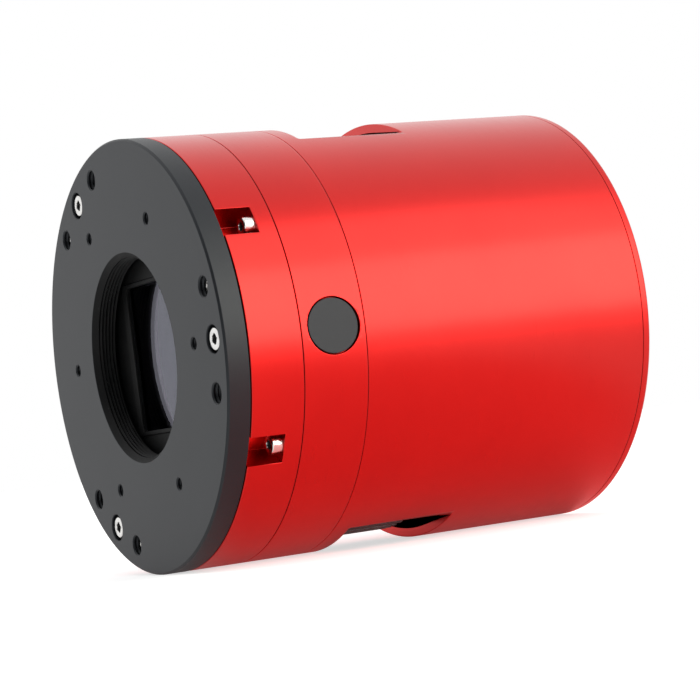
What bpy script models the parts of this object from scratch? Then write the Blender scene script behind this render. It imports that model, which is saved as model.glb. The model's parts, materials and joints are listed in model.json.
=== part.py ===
"""Cooled astronomy camera: a 90 mm round housing with a tilt plate, a sealed sensor
chamber, a two-stage thermoelectric cooler, a finned heat sink and a rear fan.

Frame: the origin is the centre of the front mounting face. +Y runs along the optical
axis towards the rear, +X is the side with the desiccant port and the two air vents
open along +Z and -Z. Lengths below are in millimetres and MM turns them into metres.
Angles go round the optical axis, from +X towards +Z.
"""
import math

import bmesh
import bpy

MM = 0.001
GAP = 0.3                       # between two pieces that touch

# Housing: everything is turned to one outer diameter.
BODY_R = 45.0
BODY_SIDES = 60
DISC_SIDES = 40                 # round pieces inside the housing
SMALL_SIDES = 24
BORE_SIDES = 16
SCREW_SIDES = 12                # screws and the holes for them
PLATE_BACK = 4.85               # tilt plate, from y = 0
FRONT_RING_Y = (PLATE_BACK + GAP, 16.3)
CHAMBER_RING_Y = (16.6, 30.35)
TUBE_Y = (30.65, 96.25)
COVER_Y = (96.55, 98.0)
TUBE_BORE_R = 43.0
FLANGE_BACK = 34.4              # the tube's inner flange ends here
FLANGE_R = 30.0
CHAMBER_BORE_R = 36.5
WEB_FRONT = 28.0                # wall at the rear of the sensor chamber
WEB_R = 29.5
CLEARANCE_R = 1.55              # plain hole round an M2.5 screw
THREAD_R = 1.3                  # hole round an M2 thread

# Front plate: M42 socket, six plain holes and three groups of adjusting screws.
SOCKET_R = 20.8
SOCKET_MOUTH_R = 21.8
PLATE_CHAMFER = 0.4
PLAIN_HOLE_R = 1.3
PLAIN_HOLE_CIRCLE = 31.0
ADJUST_CIRCLE = 40.0
ADJUST_ANGLES = (0, 120, 240)
PUSH_OFFSET = 15                # degrees from a pull screw to its push screw
PUSH_FRONT = 1.3                # the set screw sits this deep in its hole
PUSH_R = 1.85
PULL_TOP = 0.3
PULL_SEAT = 3.1
PULL_BORE_R = 2.8
PULL_HOLE_END = 13.0
SET_SCREW_KEY = (1.0, 1.4)      # hexagon apothem and depth

# Cap and countersunk screws.
PULL_SCREW = {"head_r": 2.25, "head_h": 2.5, "shank_r": 1.25, "length": 11.5, "key": 1.0}
STACK_SCREW = {"head_r": 2.25, "head_h": 2.5, "shank_r": 1.25, "length": 12.5, "key": 1.0}
POCKET_SCREW = {"head_r": 1.85, "head_h": 2.0, "shank_r": 1.0, "length": 10.0, "key": 0.75}
FAN_SCREW = {"head_r": 2.9, "head_h": 1.6, "shank_r": 1.5, "length": 11.5, "key": 1.0}
COVER_SCREW = {"head_r": 2.35, "head_h": 1.35, "shank_r": 1.25, "length": 11.0, "key": 0.75}
CAP_KEY_SHARE = 0.55            # depth of the hexagon socket over the head's height
FLAT_KEY_SHARE = 0.6
SCREW_SINK = 0.05               # a countersunk head sits this far below its face

# Side pockets of the front ring.
POCKET_ANGLES = (30, 90, 150, 210, 270, 330)
POCKET_WIDTH = 6.2
POCKET_BACK = 12.6
POCKET_FLOOR = 38.6
POCKET_SCREW_CIRCLE = 42.9
POCKET_THREAD_END = 21.0

# Window between the socket and the sensor chamber.
RETAINER_Y = (5.9, 6.6)
RIM_FRONT = 5.5
RIM_HALF = (14.75, 16.1)        # x and z
APERTURE_HALF = (11.2, 14.7)
WINDOW_Y = (6.9, 8.0)
WINDOW_R = 29.7
WINDOW_SEAT_R = WINDOW_R + 2.0
RETAINER_R = WINDOW_R + 1.6
GASKET_R = (26.0, 29.4)
HEATER_R = (24.0, 25.6)
HEATER_THICK = 0.4
SEAT_FRONT = 9.5
SEAT_BACK = 11.5
SEAT_R = 23.5

# Sensor: its light-sensitive face lies 17.5 mm behind the mounting face.
SENSOR_Y = 17.5
DIE_THICK = 0.3
DIE_HALF = (8.4, 12.3)
PACKAGE_Y = (16.9, 19.9)
PACKAGE_HALF = (14.0, 17.0)
PACKAGE_WELL = (9.5, 13.2)
PACKAGE_WELL_BACK = 18.1
COVER_GLASS_Y = (15.9, 16.6)
COVER_GLASS_HALF = (12.0, 15.5)
BOARD_R = 31.0
BOARD_Y = (20.2, 21.8)
FINGER_HALF = (11.0, 8.0)
FINGER_STEP = 24.0
TEC_COLD_Y = (27.6, 30.7)
TEC_COLD_HALF = 15.0
TEC_HOT_Y = (31.0, 34.4)
TEC_HOT_HALF = 20.0
CHAMBER_GROOVE = {"r": (38.0, 40.2), "back": 18.3}
CHAMBER_SEAL_Y = 17.35
CHAMBER_SEAL_CORD_R = 0.75
STACK_CIRCLE = 33.0
STACK_ANGLES = (45, 135, 225, 315)

# Desiccant port in the chamber ring, on +X.
PORT_Y = 23.75
PORT_DISC_R = 5.45
PORT_FACE_X = 44.7
PORT_BORE_R = 4.2
PORT_SEAT_X = 43.4
PLUG_R = 3.9
PLUG_END_X = 39.6
PLUG_GROOVE = {"r": 3.2, "x": (40.6, 42.0)}
PLUG_SEAL = {"r": 3.7, "x": 41.3, "cord_r": 0.4}
TABLET_X = (36.9, 38.3)
TABLET_THICK = 1.0

# Heat sink and the two vents that are milled across the tube.
SINK_Y = (34.7, 38.7)
FIN_BACK = 52.0
FIN_PITCH = 2.6
FIN_THICK = 1.1
FIN_COUNT = 31
SINK_R = 42.4                   # the fins follow it in the lower vent
SINK_TOP = 39.7                 # the fins end flat under the upper vent
SINK_HOLE_BACK = 38.2
VENT_Y = (34.5, 59.2)
VENT_Z = 40.35
VENT_HALF_X = 25.0

# Bosses in the tube for the screws of the rear cover.
BOSS_REACH = (34.0, 43.6)
BOSS_HALF = 4.0
BOSS_FRONT = 82.0
BOSS_HOLE_FRONT = 85.0

# Fan, screwed to the rear cover above the sockets.
FAN_Z = 8.0
FAN_HALF = 25.0
FAN_Y = (84.7, 94.7)
FAN_DUCT_R = 23.5
FAN_HUB_R = 12.2
FAN_STRUT_BACK = 86.2
FAN_STRUT_HALF = 7              # degrees
FAN_CLIP = 3.0                  # flats across the frame's corners
FAN_SCREW_OFFSET = 20.0
FAN_HOLE_R = 1.8
SHAFT_R = 1.0
STATOR_R = (1.4, 10.6)
STATOR_Y = (86.5, 92.5)
CUP_Y = (86.8, 93.9)
CUP_WALL = 1.1
SHAFT_FRONT = 85.4
BLADE_COUNT = 7
BLADE_TIP_R = 22.9
BLADE_Y = (87.3, 93.3)
BLADE_TWIST = 38                # degrees from its front edge to its rear edge
BLADE_HALF_THICK = 0.55
BLADE_ROOT_R = FAN_HUB_R - 0.5
COVER_INNER = 95.0
COVER_SPIGOT_R = 42.6
COVER_SCREW_CIRCLE = 38.5
COVER_SCREW_ANGLES = (90, 210, 330)
GRILLE_BANDS = ((4.6, 7.2), (8.9, 11.5), (13.2, 15.8), (17.5, 20.1))
GRILLE_SPOKES = 5
GRILLE_SPOKE_WIDTH = 1.8

# Rear sockets stand on the main board.
MAIN_BOARD_Z = (-36.0, -34.4)
SOCKET_FLOOR = MAIN_BOARD_Z[1] + GAP
SOCKET_FACE_Y = 97.7
USB_B = {
    "x": (-6.0, 6.0), "z": (SOCKET_FLOOR, SOCKET_FLOOR + 11.0), "front": 81.0,
    "floor": 86.0, "wide_half": 4.2, "slim_half": 2.8,
}
USB_A = {
    "x": (-22.3, -9.2), "z": (SOCKET_FLOOR, SOCKET_FLOOR + 14.5), "front": 80.0,
    "floor": 88.0, "throat": 5.1, "edge": 0.6,
}
DC_JACK = {
    "x": (11.5, 20.5), "z": (SOCKET_FLOOR, SOCKET_FLOOR + 9.0), "front": 83.7,
    "floor": 88.0, "bore_r": 3.1, "pin_r": 1.05,
}
CUTOUT_PLAY = 0.4
SHELL_WALL = 0.35

# Main board, its chips and its posts.
BOARD_HALF_X = 21.5
BOARD_RUN = (57.0, 94.5)
PROCESSOR = {"x": (-8.5, 8.5), "y": (60.0, 77.0), "thick": 1.6}
MEMORY = {"x": (10.5, 19.5), "y": (62.0, 75.0), "thick": 1.1}
POST_X = (-15.0, 15.0)
POST_Y = 70.0
POST_R = 2.0
POST_FOOT = -39.2

AXES = {
    "X": ((0, 1, 0), (0, 0, 1), (1, 0, 0)),
    "Y": ((1, 0, 0), (0, 0, 1), (0, 1, 0)),
    "Z": ((1, 0, 0), (0, 1, 0), (0, 0, 1)),
}


def material(name, colour, roughness, metallic, alpha=1.0):
    """A Principled material with one colour."""
    made = bpy.data.materials.new(name)
    made.use_nodes = True
    shader = made.node_tree.nodes["Principled BSDF"]
    shader.inputs["Base Color"].default_value = (*colour, 1.0)
    shader.inputs["Roughness"].default_value = roughness
    shader.inputs["Metallic"].default_value = metallic
    shader.inputs["Alpha"].default_value = alpha
    made.diffuse_color = (*colour, alpha)
    return made


def finish_object(name, shape, surface):
    """Turn a bmesh drawn in millimetres into an object in metres."""
    bmesh.ops.recalc_face_normals(shape, faces=shape.faces)
    bmesh.ops.scale(shape, vec=(MM, MM, MM), verts=shape.verts)
    mesh = bpy.data.meshes.new(name)
    shape.to_mesh(mesh)
    shape.free()
    mesh.shade_smooth()
    mesh.set_sharp_from_angle(angle=math.radians(35))
    mesh.materials.append(surface)
    made = bpy.data.objects.new(name, mesh)
    bpy.context.scene.collection.objects.link(made)
    return made


def copy_object(name, original, place, turn=0.0):
    """Another object on the same mesh, moved to place (mm) and turned about Z."""
    made = bpy.data.objects.new(name, original.data)
    made.location = [value * MM for value in place]
    made.rotation_euler[2] = turn
    bpy.context.scene.collection.objects.link(made)
    return made


def polar(radius, degrees):
    """The x and z of a point at this angle round the optical axis."""
    angle = math.radians(degrees)
    return radius * math.cos(angle), radius * math.sin(angle)


def point_on(axis, centre, radius, angle, along):
    """A point round a centre (two cross values) at a distance along an axis."""
    cross_a, cross_b, run = AXES[axis]
    a = centre[0] + radius * math.cos(angle)
    b = centre[1] + radius * math.sin(angle)
    return [cross_a[i] * a + cross_b[i] * b + run[i] * along for i in range(3)]


def hexagon(apothem, angle):
    """Distance from the centre of a hexagon to its edge in one direction."""
    part = math.radians(60)
    return apothem / math.cos((angle + part / 2) % part - part / 2)


def add_turned(shape, section, sides, centre=(0, 0), axis="Y"):
    """Turn a section of (radius, along) points round an axis. A third value, "hex",
    gives a hexagon of that apothem. A section without a point on the axis closes
    on itself, as a ring does."""
    rings = []
    for radius, along, *kind in section:
        ring = []
        for k in range(sides):
            angle = math.tau * k / sides
            reach = hexagon(radius, angle) if kind else radius
            ring.append((reach, angle, along))
        if radius == 0:
            tip = shape.verts.new(point_on(axis, centre, 0, 0, along))
            rings.append([tip] * sides)
        else:
            rings.append([shape.verts.new(point_on(axis, centre, *spot)) for spot in ring])
    is_ring = all(point[0] > 0 for point in section)
    for i in range(len(rings) if is_ring else len(rings) - 1):
        near, far = rings[i], rings[(i + 1) % len(rings)]
        for k in range(sides):
            after = (k + 1) % sides
            corners = dict.fromkeys((near[k], near[after], far[after], far[k]))
            shape.faces.new(corners)


def turned(name, section, sides, surface, centre=(0, 0), axis="Y"):
    """One turned solid."""
    shape = bmesh.new()
    add_turned(shape, section, sides, centre, axis)
    return finish_object(name, shape, surface)


def add_prism(shape, outline, axis, low, high):
    """Push an outline of two cross values along an axis from low to high."""
    cross_a, cross_b, run = AXES[axis]
    ends = []
    for along in (low, high):
        ends.append([
            shape.verts.new([cross_a[i] * a + cross_b[i] * b + run[i] * along for i in range(3)])
            for a, b in outline
        ])
    count = len(outline)
    for k in range(count):
        after = (k + 1) % count
        shape.faces.new((ends[0][k], ends[0][after], ends[1][after], ends[1][k]))
    shape.faces.new(ends[0])
    shape.faces.new(ends[1])


def prism(name, outline, axis, low, high, surface):
    """One extruded solid."""
    shape = bmesh.new()
    add_prism(shape, outline, axis, low, high)
    return finish_object(name, shape, surface)


def rectangle(x_range, z_range):
    """The four corners of a rectangle in x and z."""
    x0, x1 = x_range
    z0, z1 = z_range
    return [(x0, z0), (x1, z0), (x1, z1), (x0, z1)]


def add_block(shape, x_range, y_range, z_range):
    """A box between pairs of x, y and z."""
    add_prism(shape, rectangle(x_range, z_range), "Y", *y_range)


def block(name, x_range, y_range, z_range, surface):
    """One box-shaped solid."""
    shape = bmesh.new()
    add_block(shape, x_range, y_range, z_range)
    return finish_object(name, shape, surface)


def centred(half):
    """A range of equal reach to both sides of zero."""
    return (-half, half)


def sector(inner, outer, start, end, steps, centre):
    """Outline of a piece of a ring between two angles in radians."""
    angles = [start + (end - start) * k / steps for k in range(steps + 1)]
    far = [(centre[0] + outer * math.cos(a), centre[1] + outer * math.sin(a)) for a in angles]
    near = [(centre[0] + inner * math.cos(a), centre[1] + inner * math.sin(a)) for a in angles]
    return far + near[::-1]


def combine(target, tool, operation):
    """Apply a hidden tool object to the target with a Boolean modifier."""
    tool.hide_render = True
    tool.display_type = "WIRE"
    step = target.modifiers.new(operation.lower(), "BOOLEAN")
    step.operation = operation
    step.solver = "EXACT"
    step.object = tool


def cut_turned(target, section, sides, centres, axis="Y"):
    """Cut the same turned shape at several places."""
    shape = bmesh.new()
    for centre in centres:
        add_turned(shape, section, sides, centre, axis)
    tool = finish_object("tool_" + target.name, shape, target.data.materials[0])
    combine(target, tool, "DIFFERENCE")


def cut_blocks(target, blocks):
    """Cut several boxes that don't touch each other."""
    shape = bmesh.new()
    for ranges in blocks:
        add_block(shape, *ranges)
    tool = finish_object("tool_" + target.name, shape, target.data.materials[0])
    combine(target, tool, "DIFFERENCE")


def hole(radius, low, high):
    """Section of a plain round hole."""
    return [(0, low), (radius, low), (radius, high), (0, high)]


def radial_block(reach_range, half_width, degrees):
    """Outline of a block that reaches outwards from the optical axis at an angle."""
    out_x, out_z = polar(1, degrees)
    near, far = reach_range
    corners = ((near, -half_width), (far, -half_width), (far, half_width), (near, half_width))
    outline = []
    for reach, across in corners:
        outline.append((out_x * reach - out_z * across, out_z * reach + out_x * across))
    return outline


def cap_screw_section(head_r, head_h, shank_r, length, key):
    """Socket cap screw: head at y = 0, shank towards +Y, key is the hexagon's apothem."""
    key_depth = head_h * CAP_KEY_SHARE
    return [
        (0, key_depth),
        (key, key_depth, "hex"),
        (key, 0, "hex"),
        (head_r, 0),
        (head_r, head_h),
        (shank_r, head_h),
        (shank_r, length),
        (0, length),
    ]


def flat_screw_section(head_r, head_h, shank_r, length, key):
    """Countersunk screw with a hexagon socket: head at y = 0, shank towards +Y."""
    key_depth = head_h * FLAT_KEY_SHARE
    return [
        (0, key_depth),
        (key, key_depth, "hex"),
        (key, 0, "hex"),
        (head_r, 0),
        (shank_r, head_h),
        (shank_r, length),
        (0, length),
    ]


def screws(prefix, section, places, surface, turn=0.0):
    """A set of equal screws, each its own object on a shared mesh."""
    pattern = None
    for number, place in enumerate(places, start=1):
        name = f"{prefix}_{number}"
        if pattern is None:
            pattern = turned(name, section, SCREW_SIDES, surface)
            pattern.location = [value * MM for value in place]
            pattern.rotation_euler[2] = turn
        else:
            copy_object(name, pattern, place, turn)


def make_tilt_plate(black, steel):
    """Black front plate with its socket, and the screws that tilt it."""
    section = [
        (SOCKET_MOUTH_R, 0),
        (BODY_R - PLATE_CHAMFER, 0),
        (BODY_R, PLATE_CHAMFER),
        (BODY_R, PLATE_BACK),
        (SOCKET_R, PLATE_BACK),
        (SOCKET_R, SOCKET_MOUTH_R - SOCKET_R),
    ]
    plate = turned("tilt_plate", section, BODY_SIDES, black)
    plain = [polar(PLAIN_HOLE_CIRCLE, 60 * k) for k in range(6)]
    beyond = PLATE_BACK + 1
    cut_turned(plate, hole(PLAIN_HOLE_R, -1, beyond), SCREW_SIDES, plain)
    stepped = [
        (0, -1), (PULL_BORE_R, -1), (PULL_BORE_R, PULL_SEAT),
        (CLEARANCE_R, PULL_SEAT), (CLEARANCE_R, beyond), (0, beyond),
    ]
    pull = [polar(ADJUST_CIRCLE, angle) for angle in ADJUST_ANGLES]
    cut_turned(plate, stepped, BORE_SIDES, pull)
    side = [
        polar(ADJUST_CIRCLE, angle + offset)
        for angle in ADJUST_ANGLES
        for offset in (-PUSH_OFFSET, PUSH_OFFSET)
    ]
    cut_turned(plate, hole(PUSH_R + GAP, -1, beyond), SCREW_SIDES, side)

    pull_section = cap_screw_section(**PULL_SCREW)
    pull_places = [(x, PULL_TOP, z) for x, z in pull]
    screws("pull_screw", pull_section, pull_places, steel)
    push_length = PLATE_BACK - PUSH_FRONT
    key, key_depth = SET_SCREW_KEY
    push_section = [
        (0, key_depth), (key, key_depth, "hex"), (key, 0, "hex"),
        (PUSH_R, 0), (PUSH_R, push_length), (0, push_length),
    ]
    push_places = []
    for angle in ADJUST_ANGLES:
        x, z = polar(ADJUST_CIRCLE, angle + PUSH_OFFSET)
        push_places.append((x, PUSH_FRONT, z))
    screws("push_screw", push_section, push_places, steel)


def make_front_ring(red, steel):
    """Red ring that holds the window, with six side pockets for its screws."""
    front, back = FRONT_RING_Y
    section = [
        (WINDOW_SEAT_R, front),
        (BODY_R, front),
        (BODY_R, back),
        (CHAMBER_BORE_R, back),
        (CHAMBER_BORE_R, SEAT_BACK),
        (SEAT_R, SEAT_BACK),
        (SEAT_R, SEAT_FRONT),
        (WINDOW_SEAT_R, SEAT_FRONT),
    ]
    ring = turned("front_ring", section, BODY_SIDES, red)
    shape = bmesh.new()
    for degrees in POCKET_ANGLES:
        outline = radial_block((POCKET_FLOOR, BODY_R + 5), POCKET_WIDTH / 2, degrees)
        add_prism(shape, outline, "Y", front - 1, POCKET_BACK)
    combine(ring, finish_object("tool_pockets", shape, red), "DIFFERENCE")
    centres = [polar(POCKET_SCREW_CIRCLE, degrees) for degrees in POCKET_ANGLES]
    cut_turned(ring, hole(THREAD_R, POCKET_BACK - 1, back + 1), SCREW_SIDES, centres)
    pull = [polar(ADJUST_CIRCLE, degrees) for degrees in ADJUST_ANGLES]
    cut_turned(ring, hole(CLEARANCE_R, front - 1, PULL_HOLE_END), SCREW_SIDES, pull)

    screw_section = cap_screw_section(**POCKET_SCREW)
    places = [(x, POCKET_BACK - GAP - POCKET_SCREW["head_h"], z) for x, z in centres]
    screws("pocket_screw", screw_section, places, steel)


def make_window(black, glass, rubber, film):
    """Retainer with a raised rectangular rim, window, gasket and anti-dew heater."""
    retainer = turned("window_retainer", hole(RETAINER_R, *RETAINER_Y), DISC_SIDES, black)
    rim_y = (RIM_FRONT, sum(RETAINER_Y) / 2)
    rim = block("tool_rim", centred(RIM_HALF[0]), rim_y, centred(RIM_HALF[1]), black)
    combine(retainer, rim, "UNION")
    cut_blocks(retainer, [(centred(APERTURE_HALF[0]), (5, 7), centred(APERTURE_HALF[1]))])

    turned("protective_window", hole(WINDOW_R, *WINDOW_Y), DISC_SIDES, glass)
    back = WINDOW_Y[1] + GAP
    gasket = rectangle(GASKET_R, (back, SEAT_FRONT - GAP))
    turned("window_gasket", gasket, DISC_SIDES, rubber)
    heater = rectangle(HEATER_R, (back, back + HEATER_THICK))
    turned("dew_heater", heater, DISC_SIDES, film)


def make_chamber_ring(red, rubber, black, white):
    """Sensor chamber wall with its seal and its desiccant port."""
    front, back = CHAMBER_RING_Y
    groove_in, groove_out = CHAMBER_GROOVE["r"]
    groove_back = CHAMBER_GROOVE["back"]
    section = [
        (CHAMBER_BORE_R, front),
        (groove_in, front), (groove_in, groove_back),
        (groove_out, groove_back), (groove_out, front),
        (BODY_R, front),
        (BODY_R, back),
        (WEB_R, back),
        (WEB_R, WEB_FRONT),
        (CHAMBER_BORE_R, WEB_FRONT),
    ]
    ring = turned("chamber_ring", section, BODY_SIDES, red)
    inside, outside = CHAMBER_BORE_R - 5, BODY_R + 5
    port = [
        (0, inside), (PORT_BORE_R, inside), (PORT_BORE_R, PORT_SEAT_X),
        (PORT_DISC_R + GAP, PORT_SEAT_X), (PORT_DISC_R + GAP, outside), (0, outside),
    ]
    cut_turned(ring, port, SMALL_SIDES, [(PORT_Y, 0)], "X")
    threads = [polar(POCKET_SCREW_CIRCLE, degrees) for degrees in POCKET_ANGLES]
    cut_turned(ring, hole(THREAD_R, front - 1, POCKET_THREAD_END), SCREW_SIDES, threads)
    stack = [polar(STACK_CIRCLE, degrees) for degrees in STACK_ANGLES]
    cut_turned(ring, hole(CLEARANCE_R, WEB_FRONT - 1, back + 1), SCREW_SIDES, stack)
    shape = bmesh.new()
    add_torus(shape, sum(CHAMBER_GROOVE["r"]) / 2, CHAMBER_SEAL_Y, CHAMBER_SEAL_CORD_R, DISC_SIDES)
    finish_object("chamber_o_ring", shape, rubber)

    groove_r, groove_x = PLUG_GROOVE["r"], PLUG_GROOVE["x"]
    rim = 0.15
    plug = [
        (0, PLUG_END_X), (PLUG_R, PLUG_END_X), (PLUG_R, groove_x[0]), (groove_r, groove_x[0]),
        (groove_r, groove_x[1]), (PLUG_R, groove_x[1]),
        (PLUG_R, PORT_SEAT_X + GAP), (PORT_DISC_R, PORT_SEAT_X + GAP),
        (PORT_DISC_R, PORT_FACE_X - rim), (PORT_DISC_R - rim, PORT_FACE_X), (0, PORT_FACE_X),
    ]
    turned("desiccant_plug", plug, SMALL_SIDES, black, (PORT_Y, 0), "X")
    shape = bmesh.new()
    seal = PLUG_SEAL
    add_torus(shape, seal["r"], seal["x"], seal["cord_r"], BORE_SIDES, "X", (PORT_Y, 0))
    finish_object("plug_o_ring", shape, rubber)
    for number, start in enumerate(TABLET_X, start=1):
        tablet = hole(PLUG_R, start, start + TABLET_THICK)
        turned(f"desiccant_tablet_{number}", tablet, BORE_SIDES, white, (PORT_Y, 0), "X")


def add_torus(shape, major, along, minor, sides, axis="Y", centre=(0, 0)):
    """A ring of round cord round an axis."""
    section = []
    cord_sides = 5
    for k in range(cord_sides):
        angle = math.tau * k / cord_sides
        section.append((major + minor * math.cos(angle), along + minor * math.sin(angle)))
    add_turned(shape, section, sides, centre, axis)


def make_sensor(ceramic, silicon, glass, board_green, copper, white, steel):
    """Sensor, its board, the cold finger and the two cooler stages."""
    package_x, package_z = (centred(half) for half in PACKAGE_HALF)
    package = block("sensor_package", package_x, PACKAGE_Y, package_z, ceramic)
    well_x, well_z = (centred(half) for half in PACKAGE_WELL)
    cut_blocks(package, [(well_x, (PACKAGE_Y[0] - 1, PACKAGE_WELL_BACK), well_z)])
    die_x, die_z = (centred(half) for half in DIE_HALF)
    block("sensor_die", die_x, (SENSOR_Y, SENSOR_Y + DIE_THICK), die_z, silicon)
    pane_x, pane_z = (centred(half) for half in COVER_GLASS_HALF)
    block("sensor_cover_glass", pane_x, COVER_GLASS_Y, pane_z, glass)
    board = turned("sensor_board", hole(BOARD_R, *BOARD_Y), DISC_SIDES, board_green)
    opening_x, opening_z = (centred(half + 0.5) for half in FINGER_HALF)
    cut_blocks(board, [(opening_x, (BOARD_Y[0] - 1, BOARD_Y[1] + 1), opening_z)])

    finger_x, finger_z = (centred(half) for half in FINGER_HALF)
    finger = block("cold_finger", finger_x, (BOARD_Y[0], FINGER_STEP + 0.5), finger_z, copper)
    flat = centred(TEC_COLD_HALF)
    foot = block("tool_foot", flat, (FINGER_STEP, TEC_COLD_Y[0] - GAP), flat, copper)
    combine(finger, foot, "UNION")
    block("cooler_cold_stage", flat, TEC_COLD_Y, flat, white)
    block("cooler_hot_stage", centred(TEC_HOT_HALF), TEC_HOT_Y, centred(TEC_HOT_HALF), white)

    section = cap_screw_section(**STACK_SCREW)
    places = []
    for degrees in STACK_ANGLES:
        x, z = polar(STACK_CIRCLE, degrees)
        places.append((x, WEB_FRONT - GAP - STACK_SCREW["head_h"], z))
    screws("stack_screw", section, places, steel)


def make_heat_sink(aluminium):
    """Round base with parallel fins, whose tips show in the two vents."""
    front, base_back = SINK_Y
    edge = SINK_R + 1
    outline = [(-edge, front), (edge, front), (edge, base_back)]
    for k in range(FIN_COUNT):
        x = ((FIN_COUNT - 1) / 2 - k) * FIN_PITCH
        right, left = x + FIN_THICK / 2, x - FIN_THICK / 2
        outline += [(right, base_back), (right, FIN_BACK), (left, FIN_BACK), (left, base_back)]
    outline.append((-edge, base_back))
    sink = prism("heat_sink", outline, "Z", -SINK_R - 1, SINK_TOP, aluminium)
    round_body = turned("tool_round", hole(SINK_R, front - 1, FIN_BACK + 1), DISC_SIDES, aluminium)
    combine(sink, round_body, "INTERSECT")
    stack = [polar(STACK_CIRCLE, degrees) for degrees in STACK_ANGLES]
    cut_turned(sink, hole(CLEARANCE_R, front - 1, SINK_HOLE_BACK), SCREW_SIDES, stack)


def make_main_tube(red):
    """Red tube with a front flange, three rear bosses and two milled vents."""
    front, back = TUBE_Y
    section = [
        (FLANGE_R, front),
        (BODY_R, front),
        (BODY_R, back),
        (TUBE_BORE_R, back),
        (TUBE_BORE_R, FLANGE_BACK),
        (FLANGE_R, FLANGE_BACK),
    ]
    tube = turned("main_tube", section, BODY_SIDES, red)
    shape = bmesh.new()
    for degrees in COVER_SCREW_ANGLES:
        outline = radial_block(BOSS_REACH, BOSS_HALF, degrees)
        add_prism(shape, outline, "Y", BOSS_FRONT, COVER_INNER - GAP)
    combine(tube, finish_object("tool_bosses", shape, red), "UNION")
    bosses = [polar(COVER_SCREW_CIRCLE, degrees) for degrees in COVER_SCREW_ANGLES]
    cut_turned(tube, hole(CLEARANCE_R, BOSS_HOLE_FRONT, COVER_INNER), SCREW_SIDES, bosses)
    stack = [polar(STACK_CIRCLE, degrees) for degrees in STACK_ANGLES]
    cut_turned(tube, hole(CLEARANCE_R, front - 1, FLANGE_BACK + 1), SCREW_SIDES, stack)
    wide = centred(VENT_HALF_X)
    outside = BODY_R + 5
    vents = [(wide, VENT_Y, (VENT_Z, outside)), (wide, VENT_Y, (-outside, -VENT_Z))]
    cut_blocks(tube, vents)


def blade(shape, start):
    """One twisted fan blade as a closed sheet, starting at an angle in radians."""
    rows, columns = 2, 4
    grid = {}
    for side in (-1, 1):
        for i in range(rows + 1):
            radius = BLADE_ROOT_R + (BLADE_TIP_R - BLADE_ROOT_R) * i / rows
            lean = side * BLADE_HALF_THICK / radius
            for j in range(columns + 1):
                share = j / columns
                angle = start + math.radians(BLADE_TWIST) * share + lean
                y = BLADE_Y[0] + (BLADE_Y[1] - BLADE_Y[0]) * share
                grid[side, i, j] = shape.verts.new(point_on("Y", (0, FAN_Z), radius, angle, y))
    for side in (-1, 1):
        for i in range(rows):
            for j in range(columns):
                shape.faces.new((
                    grid[side, i, j], grid[side, i + 1, j],
                    grid[side, i + 1, j + 1], grid[side, i, j + 1],
                ))
    border = [(i, 0) for i in range(rows)] + [(rows, j) for j in range(columns)]
    border += [(i, columns) for i in range(rows, 0, -1)] + [(0, j) for j in range(columns, 0, -1)]
    for k, here in enumerate(border):
        after = border[(k + 1) % len(border)]
        shape.faces.new((grid[(-1, *here)], grid[(-1, *after)], grid[(1, *after)], grid[(1, *here)]))


def fan_corners():
    """The x and z of the fan's four screws."""
    offset = FAN_SCREW_OFFSET
    return [(x, z + FAN_Z) for x in (-offset, offset) for z in (-offset, offset)]


def countersunk_hole(bore_r, mouth_r, sink, face):
    """Section of a hole along Y whose mouth widens towards a rear face."""
    front, beyond = COVER_INNER - 1, face + 1
    return [
        (0, front), (bore_r, front), (bore_r, face - sink), (mouth_r, face),
        (mouth_r, beyond), (0, beyond),
    ]


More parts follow.
